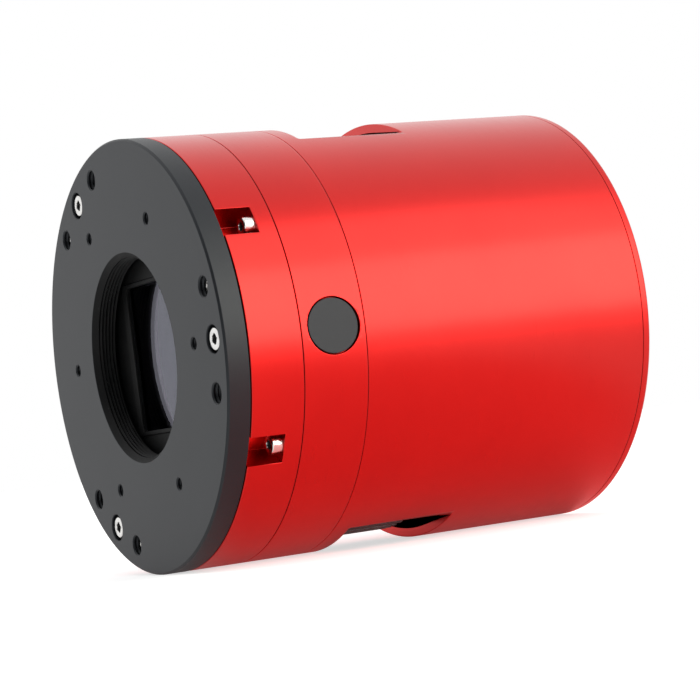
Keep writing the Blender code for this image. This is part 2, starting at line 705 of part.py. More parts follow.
def make_fan(black, copper, steel):
    """Fan frame, stator and rotor, and the screws that hold the frame to the cover."""
    front, back = FAN_Y
    low, high = -FAN_HALF, FAN_HALF
    near, far = low + FAN_CLIP, high - FAN_CLIP
    outline = [
        (near, low), (far, low), (high, near), (high, far),
        (far, high), (near, high), (low, far), (low, near),
    ]
    outline = [(x, z + FAN_Z) for x, z in outline]
    frame = prism("fan_frame", outline, "Y", front, back, black)
    cut_turned(frame, hole(FAN_DUCT_R, FAN_STRUT_BACK, back + 1), DISC_SIDES, [(0, FAN_Z)])
    shape = bmesh.new()
    strut_half = math.radians(FAN_STRUT_HALF)
    for k in range(4):
        start = math.radians(90 * k + 45) + strut_half
        end = math.radians(90 * k + 135) - strut_half
        opening = sector(FAN_HUB_R, FAN_DUCT_R, start, end, 6, (0, FAN_Z))
        add_prism(shape, opening, "Y", front - 1, FAN_STRUT_BACK + 0.5)
    combine(frame, finish_object("tool_struts", shape, black), "DIFFERENCE")
    corners = fan_corners()
    cut_turned(frame, hole(FAN_HOLE_R, front - 1, back + 1), SCREW_SIDES, corners)
    shaft_hole = hole(SHAFT_R + GAP, front - 1, FAN_STRUT_BACK + 1)
    cut_turned(frame, shaft_hole, SCREW_SIDES, [(0, FAN_Z)])

    turned("fan_stator", rectangle(STATOR_R, STATOR_Y), SMALL_SIDES, copper, (0, FAN_Z))
    open_end, closed_end = CUP_Y
    cup_r = FAN_HUB_R - CUP_WALL
    rim = 0.5
    cup = [
        (0, SHAFT_FRONT), (SHAFT_R, SHAFT_FRONT), (SHAFT_R, closed_end - CUP_WALL),
        (cup_r, closed_end - CUP_WALL), (cup_r, open_end), (FAN_HUB_R, open_end),
        (FAN_HUB_R, closed_end - rim), (FAN_HUB_R - rim, closed_end), (0, closed_end),
    ]
    rotor = turned("fan_rotor", cup, SMALL_SIDES, black, (0, FAN_Z))
    shape = bmesh.new()
    for k in range(BLADE_COUNT):
        blade(shape, math.tau * k / BLADE_COUNT)
    combine(rotor, finish_object("tool_blades", shape, black), "UNION")

    section = flat_screw_section(**FAN_SCREW)
    places = [(x, COVER_Y[1] - SCREW_SINK, z) for x, z in corners]
    screws("fan_screw", section, places, steel, math.pi)


def make_rear_cover(red, steel):
    """Rear cover with the fan grille, the socket cut-outs and its own screws."""
    front, back = COVER_Y
    edge = 0.5
    section = [
        (0, COVER_INNER),
        (COVER_SPIGOT_R, COVER_INNER),
        (COVER_SPIGOT_R, front),
        (BODY_R, front),
        (BODY_R, back - edge),
        (BODY_R - edge, back),
        (0, back),
    ]
    cover = turned("rear_cover", section, BODY_SIDES, red)
    shape = bmesh.new()
    through = (COVER_INNER - 1, back + 1)
    for inner, outer in GRILLE_BANDS:
        spoke = math.asin(GRILLE_SPOKE_WIDTH / (inner + outer))
        for k in range(GRILLE_SPOKES):
            start = math.tau * k / GRILLE_SPOKES + spoke
            end = math.tau * (k + 1) / GRILLE_SPOKES - spoke
            opening = sector(inner, outer, start, end, 3, (0, FAN_Z))
            add_prism(shape, opening, "Y", *through)
    combine(cover, finish_object("tool_grille", shape, red), "DIFFERENCE")
    windows = []
    for socket in (USB_B, USB_A, DC_JACK):
        x_range = (socket["x"][0] - CUTOUT_PLAY, socket["x"][1] + CUTOUT_PLAY)
        z_range = (socket["z"][0] - CUTOUT_PLAY, socket["z"][1] + CUTOUT_PLAY)
        windows.append((x_range, through, z_range))
    cut_blocks(cover, windows)
    mouth_r = FAN_SCREW["head_r"] + GAP
    fan_hole = countersunk_hole(FAN_HOLE_R, mouth_r, FAN_SCREW["head_h"], back)
    cut_turned(cover, fan_hole, SCREW_SIDES, fan_corners())
    own = [polar(COVER_SCREW_CIRCLE, degrees) for degrees in COVER_SCREW_ANGLES]
    mouth_r = COVER_SCREW["head_r"] + GAP
    own_hole = countersunk_hole(CLEARANCE_R, mouth_r, COVER_SCREW["head_h"], back)
    cut_turned(cover, own_hole, SCREW_SIDES, own)
    section = flat_screw_section(**COVER_SCREW)
    places = [(x, back - SCREW_SINK, z) for x, z in own]
    screws("cover_screw", section, places, steel, math.pi)


def make_sockets(steel, black):
    """USB and power sockets that stand on the main board."""
    face, beyond = SOCKET_FACE_Y, SOCKET_FACE_Y + 1
    low, high = USB_B["z"]
    usb_b = block("usb_b_socket", USB_B["x"], (USB_B["front"], face), (low, high), steel)
    floor = USB_B["floor"]
    cut_blocks(usb_b, [(centred(USB_B["wide_half"]), (floor, beyond), (low + 1.0, low + 7.6))])
    cut_blocks(usb_b, [(centred(USB_B["slim_half"]), (floor, beyond), (low + 7.0, low + 10.2))])
    tongue_y = (floor - 1, face - 2.2)
    tongue_z = (low + 2.8, low + 5.8)
    tongue = block("tool_tongue_b", centred(USB_B["slim_half"]), tongue_y, tongue_z, black)
    combine(usb_b, tongue, "UNION")

    left, right = USB_A["x"]
    low, high = USB_A["z"]
    usb_a = block("usb_a_sockets", (left, right), (USB_A["front"], face), (low, high), steel)
    throat = USB_A["throat"]
    levels = (low + USB_A["edge"], high - USB_A["edge"] - throat)
    inside = (left + SHELL_WALL, right - SHELL_WALL)
    floor = USB_A["floor"]
    cut_blocks(usb_a, [(inside, (floor, beyond), (level, level + throat)) for level in levels])
    shape = bmesh.new()
    tongue_y = (floor - 1, face - 1.1)
    for level in levels:
        add_block(shape, (left + 1.0, right - 1.0), tongue_y, (level + 2.7, level + 4.5))
    combine(usb_a, finish_object("tool_tongues", shape, black), "UNION")

    low, high = DC_JACK["z"]
    jack = block("dc_jack", DC_JACK["x"], (DC_JACK["front"], face), (low, high), black)
    centre = (sum(DC_JACK["x"]) / 2, (low + high) / 2)
    pin_r, bore_r = DC_JACK["pin_r"], DC_JACK["bore_r"]
    pin_end, floor = face - 0.7, DC_JACK["floor"]
    bore = [
        (0, pin_end), (pin_r, pin_end), (pin_r, floor), (bore_r, floor),
        (bore_r, beyond), (0, beyond),
    ]
    cut_turned(jack, bore, BORE_SIDES, [centre])


def make_main_board(board_green, black, steel):
    """Main board with its two largest chips, on posts in the bottom of the tube."""
    block("main_board", centred(BOARD_HALF_X), BOARD_RUN, MAIN_BOARD_Z, board_green)
    for name, chip in (("processor_chip", PROCESSOR), ("memory_chip", MEMORY)):
        chip_z = (SOCKET_FLOOR, SOCKET_FLOOR + chip["thick"])
        block(name, chip["x"], chip["y"], chip_z, black)
    for number, x in enumerate(POST_X, start=1):
        post = hole(POST_R, POST_FOOT, MAIN_BOARD_Z[0] - GAP)
        turned(f"board_post_{number}", post, SCREW_SIDES, steel, (x, POST_Y), "Z")


def clear_scene():
    """Start from an empty scene."""
    for thing in list(bpy.data.objects):
        bpy.data.objects.remove(thing, do_unlink=True)


def main():
    clear_scene()
    red = material("red_anodised", (0.70, 0.02, 0.02), 0.32, 0.9)
    black = material("black_anodised", (0.03, 0.03, 0.033), 0.45, 0.5)
    plastic = material("black_plastic", (0.02, 0.02, 0.02), 0.5, 0.0)
    steel = material("stainless_steel", (0.75, 0.75, 0.76), 0.25, 1.0)
    fin_metal = material("grey_aluminium", (0.12, 0.12, 0.13), 0.4, 0.9)
    copper = material("copper", (0.65, 0.33, 0.2), 0.35, 1.0)
    rubber = material("black_rubber", (0.02, 0.02, 0.02), 0.8, 0.0)
    glass = material("coated_glass", (0.55, 0.5, 0.75), 0.05, 0.0, 0.35)
    silicon = material("sensor_silicon", (0.16, 0.15, 0.24), 0.15, 0.6)
    ceramic = material("ceramic", (0.08, 0.08, 0.09), 0.6, 0.0)
    white = material("white_ceramic", (0.85, 0.85, 0.82), 0.6, 0.0)
    board_green = material("circuit_board", (0.02, 0.12, 0.06), 0.45, 0.0)
    film = material("heater_film", (0.5, 0.22, 0.05), 0.4, 0.1)

    make_tilt_plate(black, steel)
    make_front_ring(red, steel)
    make_window(black, glass, rubber, film)
    make_chamber_ring(red, rubber, black, white)
    make_sensor(ceramic, silicon, glass, board_green, copper, white, steel)
    make_heat_sink(fin_metal)
    make_main_tube(red)
    make_fan(plastic, copper, steel)
    make_rear_cover(red, steel)
    make_sockets(steel, plastic)
    make_main_board(board_green, plastic, steel)


main()
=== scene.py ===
"""Looks of a cooled astronomy camera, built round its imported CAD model.

Every length below is in millimetres, in the CAD model's frame: the optical axis runs
along +Y from the front mounting face. MM turns a length into metres. Angles go round
the optical axis, from +X towards +Z.
"""

import json
import math

import bmesh
import bpy
from mathutils import Matrix, Vector

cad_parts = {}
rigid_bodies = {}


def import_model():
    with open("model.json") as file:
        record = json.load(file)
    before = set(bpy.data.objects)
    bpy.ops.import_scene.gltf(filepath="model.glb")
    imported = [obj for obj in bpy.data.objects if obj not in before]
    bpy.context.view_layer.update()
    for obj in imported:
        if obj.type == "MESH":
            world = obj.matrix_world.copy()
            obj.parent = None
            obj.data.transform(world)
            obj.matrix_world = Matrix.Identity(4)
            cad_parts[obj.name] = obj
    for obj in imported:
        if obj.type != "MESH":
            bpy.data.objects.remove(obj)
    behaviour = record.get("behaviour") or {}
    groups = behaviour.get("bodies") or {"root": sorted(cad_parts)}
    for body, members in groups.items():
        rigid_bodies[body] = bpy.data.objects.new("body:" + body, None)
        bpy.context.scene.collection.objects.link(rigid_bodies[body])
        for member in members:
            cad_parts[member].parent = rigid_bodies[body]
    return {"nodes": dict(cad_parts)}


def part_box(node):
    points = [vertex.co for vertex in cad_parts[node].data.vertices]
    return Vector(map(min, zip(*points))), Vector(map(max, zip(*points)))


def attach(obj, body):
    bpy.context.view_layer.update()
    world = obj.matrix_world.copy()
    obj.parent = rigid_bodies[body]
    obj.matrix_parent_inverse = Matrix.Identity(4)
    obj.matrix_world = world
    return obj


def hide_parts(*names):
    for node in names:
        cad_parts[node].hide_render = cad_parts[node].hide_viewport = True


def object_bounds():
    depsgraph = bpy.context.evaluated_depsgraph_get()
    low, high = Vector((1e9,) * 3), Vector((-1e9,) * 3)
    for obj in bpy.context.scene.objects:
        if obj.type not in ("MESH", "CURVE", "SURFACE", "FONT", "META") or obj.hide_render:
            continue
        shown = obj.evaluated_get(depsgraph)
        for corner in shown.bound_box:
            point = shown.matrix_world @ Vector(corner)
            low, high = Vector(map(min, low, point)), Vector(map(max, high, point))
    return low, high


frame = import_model()
cad_low, cad_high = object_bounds()

MM = 0.001


def reach(node):
    """The x, y and z ranges of a CAD node, in millimetres."""
    low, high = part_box(node)
    return [(low[i] / MM, high[i] / MM) for i in range(3)]


# Housing, from the CAD model.
BODY_R = cad_high.x / MM
BODY_SIDES = 288
PLATE_BACK = reach("tilt_plate")[1][1]
CHAMBER_RING_Y = reach("chamber_ring")[1]
TUBE_Y = reach("main_tube")[1]
COVER_Y = (reach("rear_cover")[1][0], reach("rear_cover")[1][1])
RING_GAP = 0.16  # between the two front rings
SEAM_GAP = 0.1  # at the tube's two ends
PLATE_PLAY = 0.25  # between the tilt plate and the first ring

# Edges and cutters.
EDGE = 0.12  # broken edges of the turned parts
FINE_EDGE = 0.08
EDGE_STEPS = 3  # in a corner that is drawn round
EDGE_SEGMENTS = 2  # in an edge that is broken after cutting
EDGE_FROM = 50  # degrees between two faces whose edge is broken
SHARP_FROM = 38  # degrees between two faces that are shaded apart
PAST = 1  # how far a cutter runs past a face
OUTSIDE = 50  # a distance from the axis that is outside the housing
CUT_MARGIN = 0.5  # width of the strips of faces beside a cut-out
ARC_INSET = 1.1  # an arc's first inner point, over its corner's size
BORE_SIDES = 32

# Screws. Each has its head (radius, height), its shank's radius and its hexagon
# socket (apothem, depth).
SCREW_SIDES = 48
PULL_SCREW = ((2.25, 2.5), 1.25, (1.0, 1.35))
PUSH_SCREW = ((1.85, 0), 1.85, (1.0, 1.4))
POCKET_SCREW = ((1.85, 2.0), 1.0, (0.88, 1.1))
FAN_SCREW = ((2.9, 1.6), 1.5, (1.0, 0.95))
COVER_SCREW = ((2.35, 1.35), 1.25, (0.75, 0.8))
HEAD_EDGE = 0.3  # front edge of a cylinder head
HEAD_BACK_EDGE = 0.06
CONE_CHAMFER = 0.1  # front edge of a countersunk head
CONE_RIM = 0.25  # depth of the head's straight rim
SHANK_EDGE = 0.15
KEY_MOUTH = 1.16  # round mouth of a hexagon socket over its apothem
KEY_CHAMFER = 0.12
KEY_CONE = 0.5  # drilled cone at its bottom over its apothem
KEY_LIP = 0.1  # how deep in a socket its painted shade starts

# Front plate.
THREAD_STEPS = 40
THREAD_SHADE = (0.6, 0.3)  # how far out and from what depth in the socket the thread has painted shade
BACK_CHAMFER = 0.3
TAP_LEAD = 0.25  # chamfer at the mouth of a tapped hole
TAP_GROOVE = 0.4  # a tapped hole's groove over its pitch
SOCKET_R = 20.8
SOCKET_MOUTH_R = 21.8
THREAD_START = 1.15
THREAD_PITCH = 0.75
THREAD_DEPTH = 0.42
PLATE_CHAMFER = 0.4
SMALL_HOLE_R = 1.3
SMALL_HOLE_CREST = 0.12  # height of its thread
SMALL_HOLE_PITCH = 0.45
SMALL_HOLE_CIRCLE = 31.0
SMALL_HOLE_COUNT = 6
ADJUST_CIRCLE = 40.0
ADJUST_ANGLES = (0, 120, 240)
PUSH_OFFSET = 15
PUSH_HOLE_R = 2.15
PUSH_CREST = 0.14
PUSH_PITCH = 0.7
PUSH_SIDES = 40
PULL_BORE_R = 2.8
PULL_CHAMFER = 0.15
PULL_SEAT = 3.1  # how deep the bore for the head is
PULL_SHANK_R = 1.55  # bore for the shank

# Front ring: its inner flange carries the window.
FRONT_BORE_R = 31.7
FRONT_EDGE = 0.22
FLANGE_R = 23.5
FLANGE_Y = (9.5, 11.5)

# Side pockets of the front ring.
POCKET_ANGLES = (30, 90, 150, 210, 270, 330)
POCKET_WIDTH = 6.2
POCKET_BACK = 12.6
POCKET_FLOOR = 38.6
POCKET_SCREW_CIRCLE = 42.9
POCKET_BORE_R = 1.15
WASHER_R = (1.1, 1.75)
WASHER_GAP = (0.04, 0.03)  # to the screw head and to the pocket's back

# Window and its retainer, a disc with a rectangular rim.
PANE_SIDES = 160
DISC_R = 31.3
DISC_Y = (5.9, 6.6)
RIM_HALF = (14.75, 16.1)
RIM_BACK = 6.3
APERTURE_HALF = (11.2, 14.7)
APERTURE_BACK = 8
RIM_STEP = (1.1, 0.5)  # a shallow step round the opening
RIM_STEP_DEPTH = 1.2

# Chamber ring, with the desiccant port and its plug along X.
CHAMBER_BORE_R = 36.5
CHAMBER_FLOOR_R = 29.5
CHAMBER_FLOOR_Y = 28.0
SEAL_GROOVE_R = (38.0, 40.2)
SEAL_GROOVE_BACK = 18.3
PORT_Y = 23.75
PORT_SIDES = 96
PORT_DISC_R = 5.45
PORT_GAP = 0.3  # round and behind the plug's disc
PORT_BORE_R = 4.2
PORT_START = 30.0  # from the optical axis
PORT_SEAT = 43.4
PLUG_END = 39.6
PLUG_STEM_R = 3.9
PLUG_NECK_R = 3.2
PLUG_NECK_X = (40.6, 42.0)  # groove for its O-ring

# Main tube: a web at its front end, vents, and bosses for the cover's screws.
TUBE_BORE_R = 43.0
WEB_R = 30.0
WEB_BACK = 34.4
VENT_Y = (34.5, 59.2)
VENT_Z = 40.35
VENT_HALF = 25
VENT_CORNER = 0.4
BOSS_OUT = (34.0, 43.6)
BOSS_HALF = 4
BOSS_CORNER = 1.5
BOSS_Y = (82.0, 94.7)
BOSS_BORE_Y = (85.0, 96.0)
COVER_SHANK_R = 1.55  # bore for a cover screw
COVER_SCREW_CIRCLE = 38.5
COVER_SCREW_ANGLES = (90, 210, 330)

# Heat sink.
SINK_SIDES = 200
SINK_BASE_BACK = 38.7
FIN_PITCH = 2.6
FIN_THICK = 1.1
FIN_COUNT = 31
FIN_EDGE = 0.2

# Fan, and the rear cover with its grille.
FAN_Z = 8.0
FAN_HALF = 25.0
FAN_DUCT_R = 23.5
FAN_HUB_R = 12.2
FAN_SCREW_OFFSET = 20.0
FAN_SCREW_BORE_R = 1.8
CUP_PIN = (1.0, 85.4)  # radius and end of the rotor's pin
CUP_BORE_R = 11.1
CUP_RECESS_R = 8.6
CUP_START = 86.8
CUP_FLOOR = 92.8
CUP_BACK = 93.9
STRUT_BACK = 86.2
STRUT_COUNT = 4
STRUT_HALF_ANGLE = 7
BLADE_COUNT = 7
BLADE_GRID = (8, 14)  # faces from root to tip and from front to back
BLADE_Y = (87.3, 93.3)
BLADE_RADII = (FAN_HUB_R - 0.5, 22.9)
BLADE_TWIST = 38
BLADE_BOW = 0.05  # how far its camber line swells, over its twist
BLADE_HALF = (0.12, 0.5)  # half its thickness at an edge, and what its middle adds
COVER_RIM_R = 42.6
COVER_CUT_Y = (94, 99)  # reach of the cuts through the cover
GRILLE_BANDS = ((4.6, 7.2), (8.9, 11.5), (13.2, 15.8), (17.5, 20.1))
GRILLE_SPOKES = 5
GRILLE_SPOKE_WIDTH = 1.8
GRILLE_CORNER = 0.7
CUTOUT_PLAY = 0.4
CUTOUT_CORNER = 0.6
FAN_SINK = (FAN_SCREW_BORE_R, 96.4, 3.2)  # bore radius, start of its cone, cone radius
COVER_SINK = (COVER_SHANK_R, 96.65, 2.65)

# Rear sockets. Levels are heights over a socket's lower side.
PLASTIC_EDGE = 0.15
STRIP_HALF = 0.5  # half the width of a contact strip
STRIP_THICK = 0.15
USB_B_HALF = (4.2, 2.9)  # half the mouth's width below and above its bevels
USB_B_LEVELS = (1.0, 7.0, 8.6)  # of its floor, of the bevels' start and of its top
USB_B_FLOOR_Y = 86
USB_A_HEIGHT = 5.1
USB_A_WALL = 0.35
USB_A_FLOOR_Y = 88
JACK_BORE_R = 3.1
JACK_FLOOR_Y = 88.0
JACK_PIN_R = 1.05
JACK_PIN_Y = (87.5, 97.0)

# Sensor package: a recess for the die, a wider one for the cover glass, and bond wires.
RECESS_FRONT = 16
WELL_HALF = (9.5, 13.2)
WELL_BACK = 18.1
LEDGE_HALF = (12.4, 15.6)
LEDGE_BACK = 17.15
WIRE_COUNT = 44  # on each side of the die
WIRE_ROW = 0.95  # length of a row of wires over the die's
WIRE_REACH = (0.2, 0.75)  # how far it starts inside and ends outside the die's side
WIRE_BEND = (0.3, 0.22)  # its top, past its start and above the die
WIRE_SECTION = ((0, -0.04), (-0.06, 0), (0, 0.04))

# Surfaces.
DRIFT_RAMP = (0.35, 0.65)  # noise values of the dark and the light colour
GRAIN_RANGE = (0.3, 0.7)  # noise values of the least and the most roughness
DENT_STRENGTH = 0.5
LATHE_STRETCH = 0.0012  # metres of grain for each radian round the axis
TRACK_GREEN = (0.05, 0.2, 0.08, 1)
BLACK = (0, 0, 0, 1)
WHITE = (1, 1, 1, 1)

# The view: where the camera stands and how it is turned.
CAMERA_PLACE = (454.9, -191.97, -22.5)
CAMERA_AZIMUTH = 61.936
CAMERA_ELEVATION = -2.140
CAMERA_ROLL = -7.387
CAMERA_LENS = 122.84
CAMERA_FILM = 36.0

# Studio. Distances and sizes of the lights are in metres.
FLOOR_HALF = 6000
FLOOR_GAP = 0.03
FLOOR_GLOW = (0.26, 0.62)  # what it gives off to the object and to the camera
FLOOR_GREYS = (0.66, 0.70)

# Red light that the housing throws on the floor. It sets in and fades over two
# stretches of Y, and it shows only in what the object reflects.
UNDER_FRONT = (-5, 15)
UNDER_BACK = (100, 135)
UNDER_BASE = (0.78, 0.36, 0.36)
UNDER_GLOW = (0.8, 0.28, 0.28)

# Surroundings, dark around one direction, and the lamps.
DARK_WAY = (0.5, -0.85, 0.1)
DARK_SPREAD = (0.55, 0.95)  # cosines where the darkness starts and is full
DARK_LEVEL = 0.12
LAMP_COLOUR = (1.0, 0.95, 0.82)
LAMP_DISTANCE = 1.3
SIDE_LAMP = ((0.86, 0.47, 0.18), (0.9, 1.0), 2.1)  # direction, size and radiance
TALL_LAMP = ((0.86, 0.47, 0.33), (0.9, 1.8), 1.5)

AXES = {
    "X": ((0, 1, 0), (0, 0, 1), (1, 0, 0)),
    "Y": ((1, 0, 0), (0, 0, 1), (0, 1, 0)),
    "Z": ((1, 0, 0), (0, 1, 0), (0, 0, 1)),
}

surfaces = {}


# ---- mesh helpers

def polar(radius, degrees):
    """The x and z of a point at this angle round the optical axis."""
    angle = math.radians(degrees)
    return radius * math.cos(angle), radius * math.sin(angle)


def point_on(axis, centre, radius, angle, along):
    """A point round a centre (two cross values) at a distance along an axis."""
    cross_a, cross_b, run = AXES[axis]
    a = centre[0] + radius * math.cos(angle)
    b = centre[1] + radius * math.sin(angle)
    return [cross_a[i] * a + cross_b[i] * b + run[i] * along for i in range(3)]


def round_corner(before, corner, after, size, steps=EDGE_STEPS):
    """Points of an arc-like curve that takes a corner's place."""
    start = corner + (before - corner).normalized() * size
    end = corner + (after - corner).normalized() * size
    points = []
    for k in range(steps + 1):
        share = k / steps
        points.append(
            start * (1 - share) ** 2 + corner * 2 * share * (1 - share) + end * share ** 2
        )
    return points


def soften(outline, size=None, closed=True):
    """Round an outline's corners. A corner may bring its own size as a third value."""
    points = [Vector(corner[:2]) for corner in outline]
    result = []
    for k, corner in enumerate(outline):
        own = corner[2] if len(corner) > 2 else size
        is_end = not closed and k in (0, len(outline) - 1)
        if not own or is_end:
            result.append(tuple(points[k]))
            continue
        before, after = points[k - 1], points[(k + 1) % len(points)]
        result += [tuple(p) for p in round_corner(before, points[k], after, own)]
    return result


def add_turned(shape, section, sides, centre=(0, 0), axis="Y"):
    """Turn a section of (radius, along) points round an axis. An end on the axis is
    closed by a flat face. A section without one closes on itself, as a ring does.
    Returns the rings of vertices."""
    rings = []
    for radius, along in section:
        if radius > 0:
            rings.append([
                shape.verts.new(point_on(axis, centre, radius, math.tau * k / sides, along))
                for k in range(sides)
            ])
    is_ring = len(rings) == len(section)
    for i in range(len(rings) if is_ring else len(rings) - 1):
        near, far = rings[i], rings[(i + 1) % len(rings)]
        for k in range(sides):
            after = (k + 1) % sides
            shape.faces.new((near[k], near[after], far[after], far[k]))
    if section[0][0] <= 0:
        shape.faces.new(rings[0])
    if section[-1][0] <= 0:
        shape.faces.new(rings[-1])
    return rings


def turned(section, sides, centre=(0, 0), axis="Y"):
    """A new shape with one turned solid."""
    shape = bmesh.new()
    add_turned(shape, section, sides, centre, axis)
    return shape


def add_prism(shape, outline, axis, low, high):
    """Push an outline of two cross values along an axis from low to high."""
    cross_a, cross_b, run = AXES[axis]
    ends = []
    for along in (low, high):
        ends.append([
            shape.verts.new([cross_a[i] * a + cross_b[i] * b + run[i] * along for i in range(3)])
            for a, b in outline
        ])
    count = len(outline)
    for k in range(count):
        after = (k + 1) % count
        shape.faces.new((ends[0][k], ends[0][after], ends[1][after], ends[1][k]))
    shape.faces.new(ends[0])
    shape.faces.new(ends[1])


def prism(outline, axis, low, high):
    """A new shape with one extruded solid."""
    shape = bmesh.new()
    add_prism(shape, outline, axis, low, high)
    return shape


def rectangle(a_range, b_range):
    """The four corners of a rectangle."""
    return [
        (a_range[0], b_range[0]), (a_range[1], b_range[0]),
        (a_range[1], b_range[1]), (a_range[0], b_range[1]),
    ]


def bore_section(radius, low, high):
    """Section of a plain round hole."""
    return [(0, low), (radius, low), (radius, high), (0, high)]


def pane_shape(radius, y_range, edge):
    """A new round disc across the optical axis."""
    front, back = y_range
    section = [(0, front), (radius, front, edge), (radius, back, edge), (0, back)]
    return turned(soften(section, closed=False), PANE_SIDES)


def block(x_range, y_range, z_range, corner=0.0):
    """A new box-shaped solid, with its edges along Y rounded."""
    outline = soften(rectangle(x_range, z_range), corner)
    return prism(outline, "Y", *y_range)


def centred(half):
    """A range of equal reach to both sides of zero."""
    return (-half, half)


def grown(limits, by):
    """A range made longer at both ends."""
    return (limits[0] - by, limits[1] + by)


def arc(radius, start, end, steps, centre, corner):
    """Points along an arc, with none nearer to its two ends than a corner's size."""
    inset = ARC_INSET * corner / radius
    angles = [start]
    angles += [start + inset + (end - start - 2 * inset) * k / steps for k in range(steps + 1)]
    angles.append(end)
    return [(centre[0] + radius * math.cos(a), centre[1] + radius * math.sin(a)) for a in angles]


def sector(inner, outer, start, end, steps, centre, corner):
    """Outline of a piece of a ring between two angles in radians, with round corners."""
    far = arc(outer, start, end, steps, centre, corner)
    near = arc(inner, start, end, steps, centre, corner)
    outline = far + near[::-1]
    for k in (0, len(far) - 1, len(far), 2 * len(far) - 1):
        outline[k] = (*outline[k], corner)
    return soften(outline)


def object_from(name, shape):
    """Turn a shape drawn in millimetres into an object in metres."""
    bmesh.ops.recalc_face_normals(shape, faces=shape.faces)
    bmesh.ops.scale(shape, vec=(MM, MM, MM), verts=shape.verts)
    mesh = bpy.data.meshes.new(name)
    shape.to_mesh(mesh)
    shape.free()
    made = bpy.data.objects.new(name, mesh)
    bpy.context.scene.collection.objects.link(made)
    return made


def piece(name, shape, slot, cuts=(), joins=(), common=(), edge=0.0):
    """Build a piece: join, intersect and cut shapes, break its sharp edges and set its
    surface."""
    made = object_from(name, shape)
    tools = []
    for operation, extras in (("UNION", joins), ("INTERSECT", common), ("DIFFERENCE", cuts)):
        for extra in extras:
            tool = object_from("tool", extra)
            step = made.modifiers.new(operation, "BOOLEAN")
            step.operation = operation
            step.solver = "EXACT"
            step.object = tool
            tools.append(tool)
    if edge:
        bevel = made.modifiers.new("edge", "BEVEL")
        bevel.width = edge * MM
        bevel.segments = EDGE_SEGMENTS
        bevel.limit_method = "ANGLE"
        bevel.angle_limit = math.radians(EDGE_FROM)
        bevel.use_clamp_overlap = False
    graph = bpy.context.evaluated_depsgraph_get()
    mesh = bpy.data.meshes.new_from_object(made.evaluated_get(graph))
    made.modifiers.clear()
    made.data = mesh
    mesh.name = name
    for tool in tools:
        bpy.data.objects.remove(tool)
    mesh.shade_smooth()
    mesh.set_sharp_from_angle(angle=math.radians(SHARP_FROM))
    mesh.materials.clear()
    mesh.materials.append(surfaces[slot])
    normals = made.modifiers.new("normals", "WEIGHTED_NORMAL")
    normals.keep_sharp = True
    return made


def recolour(made, surface_name, is_inside):
    """Give the faces whose middle (mm) is inside a region another surface."""
    made.data.materials.append(surfaces[surface_name])
    for face in made.data.polygons:
        if is_inside(*(face.center / MM)):
            face.material_index = 1


def ride_with(made, node):
    """Move a piece with the body that a CAD node belongs to."""
    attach(made, frame["nodes"][node].parent.name.removeprefix("body:"))
    return made


def stand_in(made, *nodes):
    """Show a piece in place of CAD nodes, on the first one's body."""
    ride_with(made, nodes[0])
    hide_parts(*nodes)
    return made


# ---- materials

def set_inputs(node, **values):
    """Set inputs of a shader node. An underscore stands for a space in a name."""
    for name, value in values.items():
        node.inputs[name.replace("_", " ")].default_value = value


def add_node(tree, kind, **values):
    """A shader node with some of its inputs set."""
    node = tree.nodes.new(kind)
    set_inputs(node, **values)
    return node


def calculate(tree, operation, first, second=None):
    """A math node on one or two linked values."""
    node = tree.nodes.new("ShaderNodeMath")
    node.operation = operation
    tree.links.new(first, node.inputs[0])
    if second is not None:
        if isinstance(second, (int, float)):
            node.inputs[1].default_value = second
        else:
            tree.links.new(second, node.inputs[1])
    return node.outputs[0]


def spread_over(tree, value, source, target, smooth=False):
    """Map a linked value from one range onto another."""
    node = tree.nodes.new("ShaderNodeMapRange")
    if smooth:
        node.interpolation_type = "SMOOTHSTEP"
    for name, limit in zip(("From Min", "From Max", "To Min", "To Max"), (*source, *target)):
        node.inputs[name].default_value = limit
    tree.links.new(value, node.inputs["Value"])
    return node.outputs[0]


def turned_coordinates(tree, place):
    """Coordinates that run round the optical axis, so grain follows the lathe."""
    split = tree.nodes.new("ShaderNodeSeparateXYZ")
    tree.links.new(place, split.inputs[0])
    angle = calculate(tree, "ARCTAN2", split.outputs["Z"], split.outputs["X"])
    square_x = calculate(tree, "MULTIPLY", split.outputs["X"], split.outputs["X"])
    square_z = calculate(tree, "MULTIPLY", split.outputs["Z"], split.outputs["Z"])
    radius = calculate(tree, "SQRT", calculate(tree, "ADD", square_x, square_z))
    joined = tree.nodes.new("ShaderNodeCombineXYZ")
    tree.links.new(calculate(tree, "MULTIPLY", angle, LATHE_STRETCH), joined.inputs["X"])
    tree.links.new(split.outputs["Y"], joined.inputs["Y"])
    tree.links.new(radius, joined.inputs["Z"])
    return joined.outputs[0]


